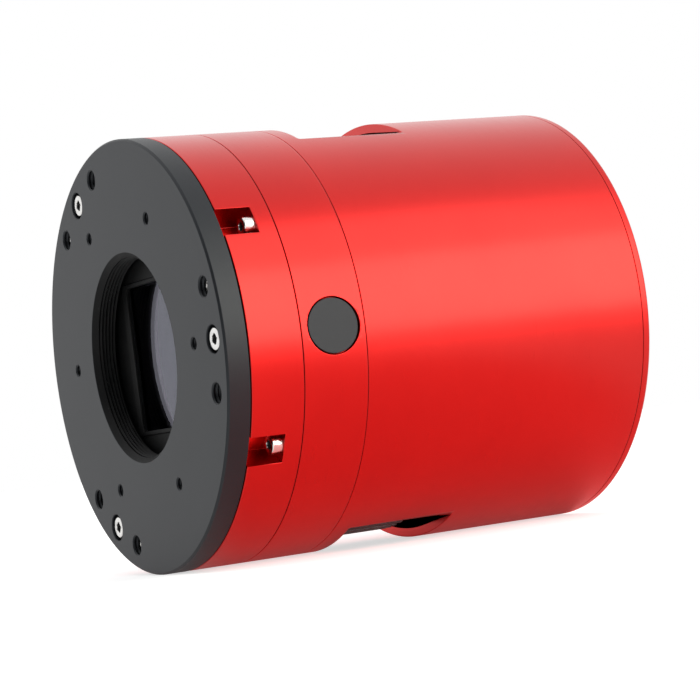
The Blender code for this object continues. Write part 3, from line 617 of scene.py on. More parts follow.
def surface(slot, dark, light, rough, metallic=0.0, patch=60.0, grain=4000.0,
            bump=0.02, lathe=0.0, **fixed):
    """A Principled material. Its colour drifts between dark and light in patches, its
    roughness runs over the pair rough, and a fine grain dents it by bump (mm). lathe is
    the share of the grain that follows the lathe. fixed holds other shader sockets."""
    made = bpy.data.materials.new(slot)
    made.use_nodes = True
    tree = made.node_tree
    shader = tree.nodes["Principled BSDF"]
    set_inputs(shader, Metallic=metallic, **fixed)
    place = tree.nodes.new("ShaderNodeTexCoord").outputs["Object"]

    drift = add_node(tree, "ShaderNodeTexNoise", Scale=patch, Detail=3.0, Roughness=0.55)
    tree.links.new(place, drift.inputs["Vector"])
    colours = tree.nodes.new("ShaderNodeValToRGB")
    colours.color_ramp.elements[0].position = DRIFT_RAMP[0]
    colours.color_ramp.elements[0].color = (*dark, 1)
    colours.color_ramp.elements[1].position = DRIFT_RAMP[1]
    colours.color_ramp.elements[1].color = (*light, 1)
    tree.links.new(drift.outputs["Fac"], colours.inputs[0])
    tree.links.new(colours.outputs[0], shader.inputs["Base Color"])

    fine = add_node(tree, "ShaderNodeTexNoise", Scale=grain, Detail=2.0, Roughness=0.6)
    tree.links.new(place, fine.inputs["Vector"])
    height = fine.outputs["Fac"]
    if lathe:
        lines = add_node(tree, "ShaderNodeTexNoise", Scale=grain, Detail=2.0, Roughness=0.5)
        tree.links.new(turned_coordinates(tree, place), lines.inputs["Vector"])
        blend = add_node(tree, "ShaderNodeMix", Factor=lathe)
        tree.links.new(height, blend.inputs["A"])
        tree.links.new(lines.outputs["Fac"], blend.inputs["B"])
        height = blend.outputs["Result"]
    tree.links.new(spread_over(tree, height, GRAIN_RANGE, rough), shader.inputs["Roughness"])
    dents = add_node(tree, "ShaderNodeBump", Strength=DENT_STRENGTH, Distance=bump * MM)
    tree.links.new(height, dents.inputs["Height"])
    tree.links.new(dents.outputs[0], shader.inputs["Normal"])
    surfaces[slot] = made
    return made


def board_surface():
    """Green solder mask with copper tracks that show through it."""
    made = surface("circuit_board", (0.008, 0.075, 0.035), (0.012, 0.10, 0.045), (0.3, 0.45),
                   patch=200.0, grain=1800.0, bump=0.01, Specular_IOR_Level=0.5)
    tree = made.node_tree
    shader = tree.nodes["Principled BSDF"]
    colours = shader.inputs["Base Color"].links[0].from_socket
    place = tree.nodes.new("ShaderNodeTexCoord").outputs["Object"]
    tracks = add_node(tree, "ShaderNodeTexBrick", Scale=420.0, Mortar_Size=0.06,
                      Color1=BLACK, Color2=BLACK, Mortar=WHITE)
    tree.links.new(place, tracks.inputs["Vector"])
    blend = tree.nodes.new("ShaderNodeMix")
    blend.data_type = "RGBA"
    blend.inputs["B"].default_value = TRACK_GREEN
    tree.links.new(tracks.outputs["Color"], blend.inputs["Factor"])
    tree.links.new(colours, blend.inputs[6])
    tree.links.new(blend.outputs[2], shader.inputs["Base Color"])
    return made


def make_surfaces():
    """One material for each slot of the record, and two darker ones that paint shade into recesses.
    """
    surface("red_anodised", (0.62, 0.008, 0.006), (0.66, 0.011, 0.008), (0.27, 0.34), 1.0,
            patch=35.0, grain=5200.0, bump=0.004, lathe=0.7,
            Specular_Tint=(1.0, 0.99, 0.98, 1.0), Coat_Weight=0.48, Coat_Roughness=0.22)
    surface("black_anodised", (0.0060, 0.0070, 0.0085), (0.0080, 0.0090, 0.0108), (0.38, 0.48),
            patch=60.0, grain=5200.0, bump=0.012, Specular_IOR_Level=0.44,
            Specular_Tint=(0.88, 0.93, 1.0, 1.0))
    # A darker black that paints the shade inside the socket, on the retainer and on the chamber
    # walls.
    surface("matt_black", (0.0035, 0.0037, 0.0040), (0.0055, 0.0057, 0.0060), (0.45, 0.6),
            patch=200.0, grain=4200.0, bump=0.012, Specular_IOR_Level=0.16)
    surface("black_plastic", (0.010, 0.010, 0.010), (0.016, 0.016, 0.016), (0.38, 0.50),
            patch=90.0, grain=3200.0, bump=0.02)
    surface("stainless_steel", (0.78, 0.77, 0.75), (0.86, 0.85, 0.83), (0.16, 0.26), 1.0,
            patch=700.0, grain=3500.0, bump=0.004)
    # A dark steel that paints the shade inside the screws' hexagon sockets.
    surface("key_steel", (0.10, 0.10, 0.10), (0.16, 0.16, 0.16), (0.35, 0.5), 1.0,
            patch=700.0, grain=3500.0, bump=0.004)
    surface("socket_shell", (0.70, 0.70, 0.69), (0.78, 0.78, 0.77), (0.22, 0.34), 1.0,
            patch=300.0, grain=2500.0, bump=0.004)
    surface("grey_aluminium", (0.07, 0.065, 0.07), (0.10, 0.095, 0.10), (0.34, 0.48), 1.0,
            patch=150.0, grain=3500.0, bump=0.01)
    surface("copper", (0.80, 0.45, 0.25), (0.90, 0.55, 0.32), (0.22, 0.38), 1.0,
            patch=200.0, grain=2500.0, bump=0.008)
    surface("black_rubber", (0.012, 0.012, 0.012), (0.020, 0.020, 0.020), (0.65, 0.8),
            patch=200.0, grain=2500.0, bump=0.03)
    surface("sensor_silicon", (0.03, 0.028, 0.06), (0.05, 0.04, 0.085), (0.10, 0.16), 0.6,
            patch=60.0, grain=6000.0, bump=0.0, Coat_Weight=0.6, Coat_Roughness=0.05)
    surface("dark_ceramic", (0.020, 0.019, 0.020), (0.032, 0.030, 0.031), (0.55, 0.7),
            patch=250.0, grain=3200.0, bump=0.02)
    surface("white_ceramic", (0.72, 0.72, 0.69), (0.82, 0.82, 0.79), (0.45, 0.6),
            patch=250.0, grain=2600.0, bump=0.02)
    surface("heater_film", (0.38, 0.15, 0.03), (0.52, 0.22, 0.05), (0.25, 0.4),
            patch=300.0, grain=1500.0, bump=0.01)
    surface("window_glass", (0.96, 0.97, 1.0), (1.0, 1.0, 1.0), (0.0, 0.015),
            patch=40.0, grain=300.0, bump=0.0, Transmission_Weight=1.0, IOR=1.36,
            Specular_Tint=(0.30, 0.26, 1.0, 1.0))
    board_surface()


# ---- cutters and screws

def tapped_hole(radius, low, high, pitch):
    """Section of a hole with thread grooves."""
    mouth = radius + TAP_LEAD
    section = [(0, low - PAST), (mouth, low - PAST), (mouth, low), (radius, low + TAP_LEAD)]
    along = low + 2 * TAP_LEAD
    while along + pitch < high:
        section += [(radius, along), (radius + pitch * TAP_GROOVE, along + pitch / 2)]
        along += pitch
    section += [(radius, along), (radius, high), (0, high)]
    return section


def add_hexagon_rings(shape, mouth, apothem, depth, sides, centre, axis, sign):
    """A hexagon socket from a round mouth ring down to a drilled cone."""
    corner = math.radians(60)

    def hexagon(size, along):
        ring = []
        for k in range(sides):
            angle = math.tau * k / sides
            wide = size / math.cos((angle + corner / 2) % corner - corner / 2)
            ring.append(shape.verts.new(point_on(axis, centre, wide, angle, along)))
        return ring

    levels = [mouth[0], hexagon(apothem, mouth[1] + sign * KEY_CHAMFER)]
    levels.append(hexagon(apothem, mouth[1] + sign * depth))
    for near, far in zip(levels, levels[1:]):
        for k in range(sides):
            after = (k + 1) % sides
            shape.faces.new((near[k], near[after], far[after], far[k]))
    tip_depth = depth + apothem * KEY_CONE
    tip = shape.verts.new(point_on(axis, centre, 0, 0, mouth[1] + sign * tip_depth))
    floor = levels[-1]
    for k in range(sides):
        shape.faces.new((floor[k], floor[(k + 1) % sides], tip))


def node_centre(node):
    """The x and z of a node's middle."""
    x_range, _, z_range = reach(node)
    return sum(x_range) / 2, sum(z_range) / 2


def screw_shape(size, length, front, centre, sign, cone):
    """A socket screw of a size and length. front is its head's face and sign the way
    that it points along Y. A cone head is countersunk."""
    (head_r, head_h), shank_r, (apothem, depth) = size
    mouth_r = apothem * KEY_MOUTH
    outline = [(mouth_r, 0), (head_r, 0, HEAD_EDGE)]
    if cone:
        outline = [
            (mouth_r, 0), (head_r - CONE_CHAMFER, 0), (head_r, CONE_CHAMFER),
            (head_r, CONE_RIM), (shank_r, head_h),
        ]
    elif head_h:
        outline += [(head_r, head_h, HEAD_BACK_EDGE), (shank_r, head_h)]
    outline += [(shank_r, length, SHANK_EDGE), (0, length)]
    section = [(r, front + sign * along) for r, along in soften(outline, closed=False)]
    shape = bmesh.new()
    rings = add_turned(shape, section, SCREW_SIDES, centre)
    add_hexagon_rings(shape, (rings[0], front), apothem, depth, SCREW_SIDES, centre, "Y", sign)
    return shape


def make_screw(name, node, size, from_rear=False):
    """Stand a socket screw in place of a CAD screw, with painted shade inside its hexagon socket."""
    low, high = reach(node)[1]
    face, sign = (high, -1) if from_rear else (low, 1)
    centre = node_centre(node)
    shape = screw_shape(size, high - low, face, centre, sign, from_rear)
    made = piece(name, shape, "stainless_steel")
    apothem, depth = size[2]

    def is_in_shaded_key(x, y, z):
        below = sign * (y - face)
        across = math.hypot(x - centre[0], z - centre[1])
        return KEY_LIP < below < depth + apothem and across < apothem * KEY_MOUTH

    # Painted shade: the inside of the hexagon socket takes the dark steel.
    recolour(made, "key_steel", is_in_shaded_key)
    stand_in(made, node)


# ---- front plate

def thread_radius(along, angle):
    """Radius of the M42 socket's thread at a place on its wall."""
    turn = ((along - THREAD_START) / THREAD_PITCH - angle / math.tau) % 1.0
    crest = abs(2.0 * turn - 1.0)
    fade = min(1.0, max(0.0, (along - THREAD_START) / THREAD_PITCH))
    return SOCKET_R + THREAD_DEPTH * (crest - 0.5) * fade


def plate_shape():
    """The plate's turned body with a real thread in its socket."""
    run = PLATE_BACK - THREAD_START
    outline = [
        (SOCKET_MOUTH_R, 0, FINE_EDGE),
        (BODY_R - PLATE_CHAMFER, 0, FINE_EDGE),
        (BODY_R, PLATE_CHAMFER, FINE_EDGE),
        (BODY_R, PLATE_BACK, EDGE),
        (SOCKET_R + BACK_CHAMFER, PLATE_BACK),
    ]
    section = soften(outline)
    wall = [(SOCKET_R, PLATE_BACK - run * k / THREAD_STEPS) for k in range(THREAD_STEPS + 1)]
    shape = bmesh.new()
    rings = add_turned(shape, section + wall, BODY_SIDES)
    for ring in rings[len(section):]:
        for k, vertex in enumerate(ring):
            angle = math.tau * k / BODY_SIDES
            radius = thread_radius(vertex.co.y, angle)
            vertex.co.x = radius * math.cos(angle)
            vertex.co.z = radius * math.sin(angle)
    return shape


def make_plate():
    """Front plate with its holes, and its adjusting screws."""
    cuts = []
    end = PLATE_BACK + PAST
    for k in range(SMALL_HOLE_COUNT):
        section = tapped_hole(SMALL_HOLE_R - SMALL_HOLE_CREST, 0, end, SMALL_HOLE_PITCH)
        centre = polar(SMALL_HOLE_CIRCLE, 360 * k / SMALL_HOLE_COUNT)
        cuts.append(turned(section, BORE_SIDES, centre))
    mouth = PULL_BORE_R + PULL_CHAMFER
    stepped = [
        (0, -PAST), (mouth, -PAST), (mouth, 0), (PULL_BORE_R, PULL_CHAMFER),
        (PULL_BORE_R, PULL_SEAT), (PULL_SHANK_R, PULL_SEAT), (PULL_SHANK_R, end), (0, end),
    ]
    threaded = tapped_hole(PUSH_HOLE_R - PUSH_CREST, 0, end, PUSH_PITCH)
    for degrees in ADJUST_ANGLES:
        cuts.append(turned(stepped, SCREW_SIDES, polar(ADJUST_CIRCLE, degrees)))
        for offset in (-PUSH_OFFSET, PUSH_OFFSET):
            centre = polar(ADJUST_CIRCLE, degrees + offset)
            cuts.append(turned(threaded, PUSH_SIDES, centre))
    joined = bmesh.new()
    for cut in cuts:
        part = bpy.data.meshes.new("cut")
        cut.to_mesh(part)
        joined.from_mesh(part)
        bpy.data.meshes.remove(part)
        cut.free()
    made = piece("front_plate", plate_shape(), "black_anodised", cuts=[joined])
    # Painted shade: the thread deep in the socket takes the darker black.
    out, deep = THREAD_SHADE
    recolour(made, "matt_black", lambda x, y, z: math.hypot(x, z) < SOCKET_R + out and y > deep)
    stand_in(made, "tilt_plate")

    for number in range(1, len(ADJUST_ANGLES) + 1):
        make_screw(f"plate_cap_screw_{number}", f"pull_screw_{number}", PULL_SCREW)
        make_screw(f"plate_set_screw_{number}", f"push_screw_{number}", PUSH_SCREW)


# ---- housing rings

def is_shaded_chamber_wall(x, y, z):
    """Whether a place on a ring faces the sensor chamber, whose walls get painted shade."""
    return math.hypot(x, z) < CHAMBER_BORE_R + CUT_MARGIN


def beside(y_range):
    """Points on the housing's outside next to a cut-out. They keep the cut-out's edges
    from bending the shading further along the housing."""
    return [(BODY_R, along) for along in grown(y_range, CUT_MARGIN)]


def radial_outline(degrees, inner, outer, half, corner=0):
    """Outline of a block that points outwards from the axis at an angle. Its two inner
    corners may be round."""
    out_x, out_z = polar(1, degrees)
    outline = []
    for out, across, size in (
        (inner, -half, corner), (outer, -half, 0), (outer, half, 0), (inner, half, corner),
    ):
        outline.append((out_x * out - out_z * across, out_z * out + out_x * across, size))
    return soften(outline)


def make_front_ring():
    """Front ring with its pockets, and the screws and spring washers in them."""
    front, back = PLATE_BACK + PLATE_PLAY, CHAMBER_RING_Y[0] - RING_GAP
    outline = [
        (FRONT_BORE_R, front, 0.2), (BODY_R, front, FRONT_EDGE),
        (BODY_R, POCKET_BACK + CUT_MARGIN), (BODY_R, back, EDGE), (CHAMBER_BORE_R, back),
        (CHAMBER_BORE_R, FLANGE_Y[1]), (FLANGE_R, FLANGE_Y[1], 0.2), (FLANGE_R, FLANGE_Y[0], 0.2),
        (FRONT_BORE_R, FLANGE_Y[0]),
    ]
    pockets = bmesh.new()
    bores = bmesh.new()
    bore = bore_section(POCKET_BORE_R, POCKET_BACK - PAST, back + PAST)
    for degrees in POCKET_ANGLES:
        pocket = radial_outline(degrees, POCKET_FLOOR, OUTSIDE, POCKET_WIDTH / 2)
        add_prism(pockets, pocket, "Y", front - PAST, POCKET_BACK)
        add_turned(bores, bore, BORE_SIDES, polar(POCKET_SCREW_CIRCLE, degrees))
    made = piece("window_ring", turned(soften(outline), BODY_SIDES), "red_anodised",
                 cuts=[pockets, bores], edge=0.13)
    # Painted shade: the faces towards the sensor chamber take the darker black.
    recolour(made, "matt_black", is_shaded_chamber_wall)
    stand_in(made, "front_ring")

    inner, outer = WASHER_R
    end = POCKET_BACK - WASHER_GAP[1]
    for number in range(1, len(POCKET_ANGLES) + 1):
        node = f"pocket_screw_{number}"
        make_screw(f"ring_screw_{number}", node, POCKET_SCREW)
        start = reach(node)[1][0] + POCKET_SCREW[0][1] + WASHER_GAP[0]
        washer = soften([
            (inner, start, 0.03), (outer, start, FINE_EDGE),
            (outer, end, FINE_EDGE), (inner, end, 0.03),
        ])
        shape = turned(washer, 40, node_centre(node))
        ride_with(piece(f"ring_washer_{number}", shape, "stainless_steel"), node)


def make_retainer():
    """Window retainer with its raised rectangular rim."""
    disc = pane_shape(DISC_R, DISC_Y, 0.1)
    rim_front = reach("window_retainer")[1][0]
    rim = block(centred(RIM_HALF[0]), (rim_front, RIM_BACK), centred(RIM_HALF[1]), 1.2)
    half_x, half_z = APERTURE_HALF
    opening = block(centred(half_x), (rim_front - PAST, APERTURE_BACK), centred(half_z), 0.6)
    step_y = (rim_front - PAST, rim_front + RIM_STEP_DEPTH)
    step = block(centred(half_x + RIM_STEP[0]), step_y, centred(half_z + RIM_STEP[1]), 0.9)
    made = piece("retainer_plate", disc, "black_anodised", joins=[rim], cuts=[opening, step],
                 edge=0.2)
    # Painted shade: the whole retainer takes the darker black, for the shade deep behind the socket.
    recolour(made, "matt_black", lambda x, y, z: True)
    stand_in(made, "window_retainer")


def make_chamber_ring():
    """Chamber ring with the desiccant port and its plug."""
    front, back = CHAMBER_RING_Y[0], TUBE_Y[0] - SEAM_GAP
    port_r = PORT_DISC_R + PORT_GAP
    groove_in, groove_out = SEAL_GROOVE_R
    outline = [
        (CHAMBER_BORE_R, front), (groove_in, front), (groove_in, SEAL_GROOVE_BACK),
        (groove_out, SEAL_GROOVE_BACK), (groove_out, front), (BODY_R, front, EDGE),
        *beside((PORT_Y - port_r, PORT_Y + port_r)), (BODY_R, back, EDGE),
        (CHAMBER_FLOOR_R, back), (CHAMBER_FLOOR_R, CHAMBER_FLOOR_Y),
        (CHAMBER_BORE_R, CHAMBER_FLOOR_Y),
    ]
    port = turned([
        (0, PORT_START), (PORT_BORE_R, PORT_START), (PORT_BORE_R, PORT_SEAT),
        (port_r, PORT_SEAT), (port_r, OUTSIDE), (0, OUTSIDE),
    ], PORT_SIDES, (PORT_Y, 0), "X")
    made = piece("chamber_wall_ring", turned(soften(outline), BODY_SIDES), "red_anodised",
                 cuts=[port], edge=0.1)
    # Painted shade: the faces towards the sensor chamber take the darker black.
    recolour(made, "matt_black", is_shaded_chamber_wall)
    stand_in(made, "chamber_ring")

    face_x = reach("desiccant_plug")[0][1]
    disc_x = PORT_SEAT + PORT_GAP
    near, far = PLUG_NECK_X
    plug = soften([
        (0, PLUG_END), (PLUG_STEM_R, PLUG_END, 0.1), (PLUG_STEM_R, near, 0.05),
        (PLUG_NECK_R, near), (PLUG_NECK_R, far), (PLUG_STEM_R, far, 0.05),
        (PLUG_STEM_R, disc_x), (PORT_DISC_R, disc_x, 0.05), (PORT_DISC_R, face_x, EDGE),
        (0, face_x),
    ], closed=False)
    shape = turned(plug, PORT_SIDES, (PORT_Y, 0), "X")
    stand_in(piece("port_plug", shape, "black_anodised"), "desiccant_plug")


# ---- tube and heat sink

def make_tube():
    """Main tube with its milled vents and the bosses of the cover screws."""
    front, back = TUBE_Y
    outline = [
        (WEB_R, front), (BODY_R, front, EDGE), *beside(VENT_Y), (BODY_R, back, EDGE),
        (TUBE_BORE_R, back, 0.2), (TUBE_BORE_R, WEB_BACK), (WEB_R, WEB_BACK),
    ]
    bosses = []
    bores = bmesh.new()
    for degrees in COVER_SCREW_ANGLES:
        boss = radial_outline(degrees, *BOSS_OUT, BOSS_HALF, BOSS_CORNER)
        bosses.append(prism(boss, "Y", *BOSS_Y))
        section = bore_section(COVER_SHANK_R, *BOSS_BORE_Y)
        add_turned(bores, section, BORE_SIDES, polar(COVER_SCREW_CIRCLE, degrees))
    vents = bmesh.new()
    low, high = VENT_Y
    for side in (-1, 1):
        inner, outer = side * VENT_Z, side * OUTSIDE
        y_z = [
            (low, inner, VENT_CORNER), (high, inner, VENT_CORNER), (high, outer), (low, outer),
        ]
        add_prism(vents, soften(y_z), "X", *centred(VENT_HALF))
    made = piece("cooling_tube", turned(soften(outline), BODY_SIDES), "red_anodised",
                 joins=bosses, cuts=[bores, vents], edge=0.14)
    stand_in(made, "main_tube")


def make_heat_sink():
    """Heat sink: a round base with parallel fins."""
    x_range, y_range, z_range = reach("heat_sink")
    front, fin_back = y_range
    edge = x_range[1] + PAST
    outline = [(-edge, front), (edge, front), (edge, SINK_BASE_BACK)]
    for k in range(FIN_COUNT):
        x = ((FIN_COUNT - 1) / 2 - k) * FIN_PITCH
        right, left = x + FIN_THICK / 2, x - FIN_THICK / 2
        outline += [
            (right, SINK_BASE_BACK), (right, fin_back, FIN_EDGE),
            (left, fin_back, FIN_EDGE), (left, SINK_BASE_BACK),
        ]
    outline.append((-edge, SINK_BASE_BACK))
    fins = prism(soften(outline), "Z", *z_range)
    round_body = turned(bore_section(x_range[1], front - PAST, fin_back + PAST), SINK_SIDES)
    made = piece("fin_heat_sink", fins, "grey_aluminium", common=[round_body])
    stand_in(made, "heat_sink")


# ---- fan

def blade(shape, start):
    """One swept and twisted fan blade as a closed sheet, from an angle on."""
    rows, columns = BLADE_GRID
    front, back = BLADE_Y
    root_r, tip_r = BLADE_RADII
    thin, thick = BLADE_HALF
    grid = {}
    for side in (-1, 1):
        for i in range(rows + 1):
            radius = root_r + (tip_r - root_r) * i / rows
            for j in range(columns + 1):
                share = j / columns
                half = thin + thick * math.sin(math.pi * min(1.0, 0.08 + share * 0.9)) ** 0.6
                bow = BLADE_BOW * math.sin(math.pi * share)
                angle = start + math.radians(BLADE_TWIST) * (share + bow) + side * half / radius
                y = front + (back - front) * share
                grid[side, i, j] = shape.verts.new(point_on("Y", (0, FAN_Z), radius, angle, y))
    for side in (-1, 1):
        for i in range(rows):
            for j in range(columns):
                shape.faces.new((
                    grid[side, i, j], grid[side, i + 1, j],
                    grid[side, i + 1, j + 1], grid[side, i, j + 1],
                ))
    border = [(i, 0) for i in range(rows)] + [(rows, j) for j in range(columns)]
    border += [(i, columns) for i in range(rows, 0, -1)] + [(0, j) for j in range(columns, 0, -1)]
    for k, here in enumerate(border):
        after = border[(k + 1) % len(border)]
        shape.faces.new((grid[(-1, *here)], grid[(-1, *after)], grid[(1, *after)], grid[(1, *here)]))


def fan_corners():
    """Centres of the holes in the fan's corners."""
    offsets = centred(FAN_SCREW_OFFSET)
    return [(x, z + FAN_Z) for x in offsets for z in offsets]


def make_fan():
    """Fan frame with struts, and its rotor."""
    front, back = reach("fan_frame")[1]
    past = back + PAST
    square = rectangle(centred(FAN_HALF), grown((FAN_Z, FAN_Z), FAN_HALF))
    chamfer_r = FAN_DUCT_R + 0.8
    duct = [
        (0, STRUT_BACK), (FAN_DUCT_R, STRUT_BACK), (FAN_DUCT_R, back - 0.8),
        (chamfer_r, back), (chamfer_r, past), (0, past),
    ]
    slots = bmesh.new()
    for k in range(STRUT_COUNT):
        start = 90 * k + 45 + STRUT_HALF_ANGLE
        end = 90 * k + 135 - STRUT_HALF_ANGLE
        opening = sector(FAN_HUB_R, FAN_DUCT_R, math.radians(start), math.radians(end),
                         24, (0, FAN_Z), 0.8)
        add_prism(slots, opening, "Y", front - PAST, STRUT_BACK + 0.5)
    corners = bmesh.new()
    for centre in fan_corners():
        section = bore_section(FAN_SCREW_BORE_R, front - PAST, past)
        add_turned(corners, section, BORE_SIDES, centre)
    made = piece("fan_housing", prism(soften(square, 4.0), "Y", front, back), "black_plastic",
                 cuts=[turned(duct, 128, (0, FAN_Z)), slots, corners], edge=0.2)
    stand_in(made, "fan_frame")

    pin_r, pin_end = CUP_PIN
    cup = [
        (0, pin_end), (pin_r, pin_end, 0.1), (pin_r, CUP_FLOOR), (CUP_BORE_R, CUP_FLOOR),
        (CUP_BORE_R, CUP_START), (FAN_HUB_R, CUP_START, 0.1), (FAN_HUB_R, CUP_BACK, 0.9),
        (CUP_RECESS_R + 0.4, CUP_BACK, 0.3), (CUP_RECESS_R, CUP_BACK - 0.3, 0.3),
        (0, CUP_BACK - 0.3),
    ]
    blades = bmesh.new()
    for k in range(BLADE_COUNT):
        blade(blades, math.tau * k / BLADE_COUNT)
    rotor = turned(soften(cup, closed=False), 96, (0, FAN_Z))
    stand_in(piece("fan_wheel", rotor, "black_plastic", joins=[blades]), "fan_rotor")


# ---- rear

def sunk_hole(size, back):
    """Section of a countersunk hole through the cover."""
    bore_r, cone_start, cone_r = size
    start, end = COVER_CUT_Y
    return [(0, start), (bore_r, start), (bore_r, cone_start), (cone_r, back), (cone_r, end),
            (0, end)]


def make_cover():
    """Rear cover with its grille and cut-outs, and its screws."""
    front, back = COVER_Y
    seam = TUBE_Y[1] + SEAM_GAP
    outline = [
        (0, front), (COVER_RIM_R, front), (COVER_RIM_R, seam), (BODY_R, seam, FINE_EDGE),
        (BODY_R, back, 0.5), (0, back),
    ]
    grille = bmesh.new()
    for inner, outer in GRILLE_BANDS:
        spoke = math.asin(GRILLE_SPOKE_WIDTH / (inner + outer))
        for k in range(GRILLE_SPOKES):
            start = math.tau * k / GRILLE_SPOKES + spoke
            end = math.tau * (k + 1) / GRILLE_SPOKES - spoke
            slot = sector(inner, outer, start, end, 16, (0, FAN_Z), GRILLE_CORNER)
            add_prism(grille, slot, "Y", *COVER_CUT_Y)
    openings = bmesh.new()
    for node in ("usb_b_socket", "usb_a_sockets", "dc_jack"):
        x_range, _, z_range = reach(node)
        opening = rectangle(grown(x_range, CUTOUT_PLAY), grown(z_range, CUTOUT_PLAY))
        add_prism(openings, soften(opening, CUTOUT_CORNER), "Y", *COVER_CUT_Y)
    sinks = bmesh.new()
    for centre in fan_corners():
        add_turned(sinks, sunk_hole(FAN_SINK, back), 40, centre)
    for degrees in COVER_SCREW_ANGLES:
        centre = polar(COVER_SCREW_CIRCLE, degrees)
        add_turned(sinks, sunk_hole(COVER_SINK, back), 40, centre)
    made = piece("rear_plate", turned(soften(outline, closed=False), BODY_SIDES),
                 "red_anodised", cuts=[grille, openings, sinks], edge=EDGE)
    stand_in(made, "rear_cover")

    for number in range(1, len(fan_corners()) + 1):
        make_screw(f"grille_screw_{number}", f"fan_screw_{number}", FAN_SCREW, True)
    for number in range(1, len(COVER_SCREW_ANGLES) + 1):
        make_screw(f"rear_plate_screw_{number}", f"cover_screw_{number}", COVER_SCREW, True)


def make_contacts(name, node, places, y_range):
    """Gold contact strips of a socket, side by side."""
    shape = bmesh.new()
    for x, z in places:
        strip = rectangle(grown((x, x), STRIP_HALF), (z, z + STRIP_THICK))
        add_prism(shape, strip, "Y", *y_range)
    ride_with(piece(name, shape, "copper"), node)


def make_sockets():
    """USB and power sockets with their tongues and contacts."""
    x_range, (front, face), (low, high) = reach("usb_b_socket")
    shell = block(x_range, (front, face), (low, high), 0.8)
    wide, narrow = USB_B_HALF
    floor, bevel, top = (low + level for level in USB_B_LEVELS)
    mouth = [(-wide, floor, 0.3), (wide, floor, 0.3), (wide, bevel), (narrow, top),
             (-narrow, top), (-wide, bevel)]
    made = piece("usb_b_shell", shell, "socket_shell",
                 cuts=[prism(soften(mouth), "Y", USB_B_FLOOR_Y, face + PAST)], edge=PLASTIC_EDGE)
    stand_in(made, "usb_b_socket")
    tongue = block(centred(2.8), (85.8, 95.5), (low + 3.0, low + 6.0), 0.4)
    made = piece("usb_b_tongue", tongue, "black_plastic", edge=PLASTIC_EDGE)
    ride_with(made, "usb_b_socket")
    places = [(x, z) for x in (-1.3, 1.3) for z in (low + 2.9, low + 5.95)]
    make_contacts("usb_b_contacts", "usb_b_socket", places, (87, 95.0))

    (left, right), (front, face), (low, high) = reach("usb_a_sockets")
    shell = block((left, right), (front, face), (low, high), 0.6)
    levels = (low + 0.6, high - 0.6 - USB_A_HEIGHT)
    across = grown((left, right), -USB_A_WALL)
    mouths = []
    places = []
    for number, level in enumerate(levels, start=1):
        mouth_z = (level, level + USB_A_HEIGHT)
        mouths.append(block(across, (USB_A_FLOOR_Y, face + PAST), mouth_z, 0.3))
        tongue_z = (level + 2.7, level + 4.5)
        tongue = block(grown((left, right), -1.0), (87.8, 96.4), tongue_z, 0.2)
        made = piece(f"usb_a_tongue_{number}", tongue, "black_plastic", edge=PLASTIC_EDGE)
        ride_with(made, "usb_a_sockets")
        middle = (left + right) / 2
        places += [(middle + x, level + 2.6) for x in (-3.5, -1.0, 1.0, 3.5)]
    made = piece("usb_a_shell", shell, "socket_shell", cuts=mouths, edge=EDGE)
    stand_in(made, "usb_a_sockets")
    make_contacts("usb_a_contacts", "usb_a_sockets", places, (89, 95.6))

    x_range, (front, face), z_range = reach("dc_jack")
    centre = (sum(x_range) / 2, sum(z_range) / 2)
    end = face + PAST
    mouth_r = JACK_BORE_R + 0.4
    bore = [
        (0, JACK_FLOOR_Y), (JACK_BORE_R, JACK_FLOOR_Y), (JACK_BORE_R, face - 0.4),
        (mouth_r, face), (mouth_r, end), (0, end),
    ]
    made = piece("dc_jack_body", block(x_range, (front, face), z_range, 0.6), "black_plastic",
                 cuts=[turned(bore, 64, centre)], edge=PLASTIC_EDGE)
    stand_in(made, "dc_jack")
    start, tip = JACK_PIN_Y
    pin = [(0, start), (JACK_PIN_R, start), (JACK_PIN_R, tip, 0.6), (0, tip)]
    shape = turned(soften(pin, closed=False), BORE_SIDES, centre)
    ride_with(piece("dc_jack_pin", shape, "socket_shell"), "dc_jack")


# ---- sensor

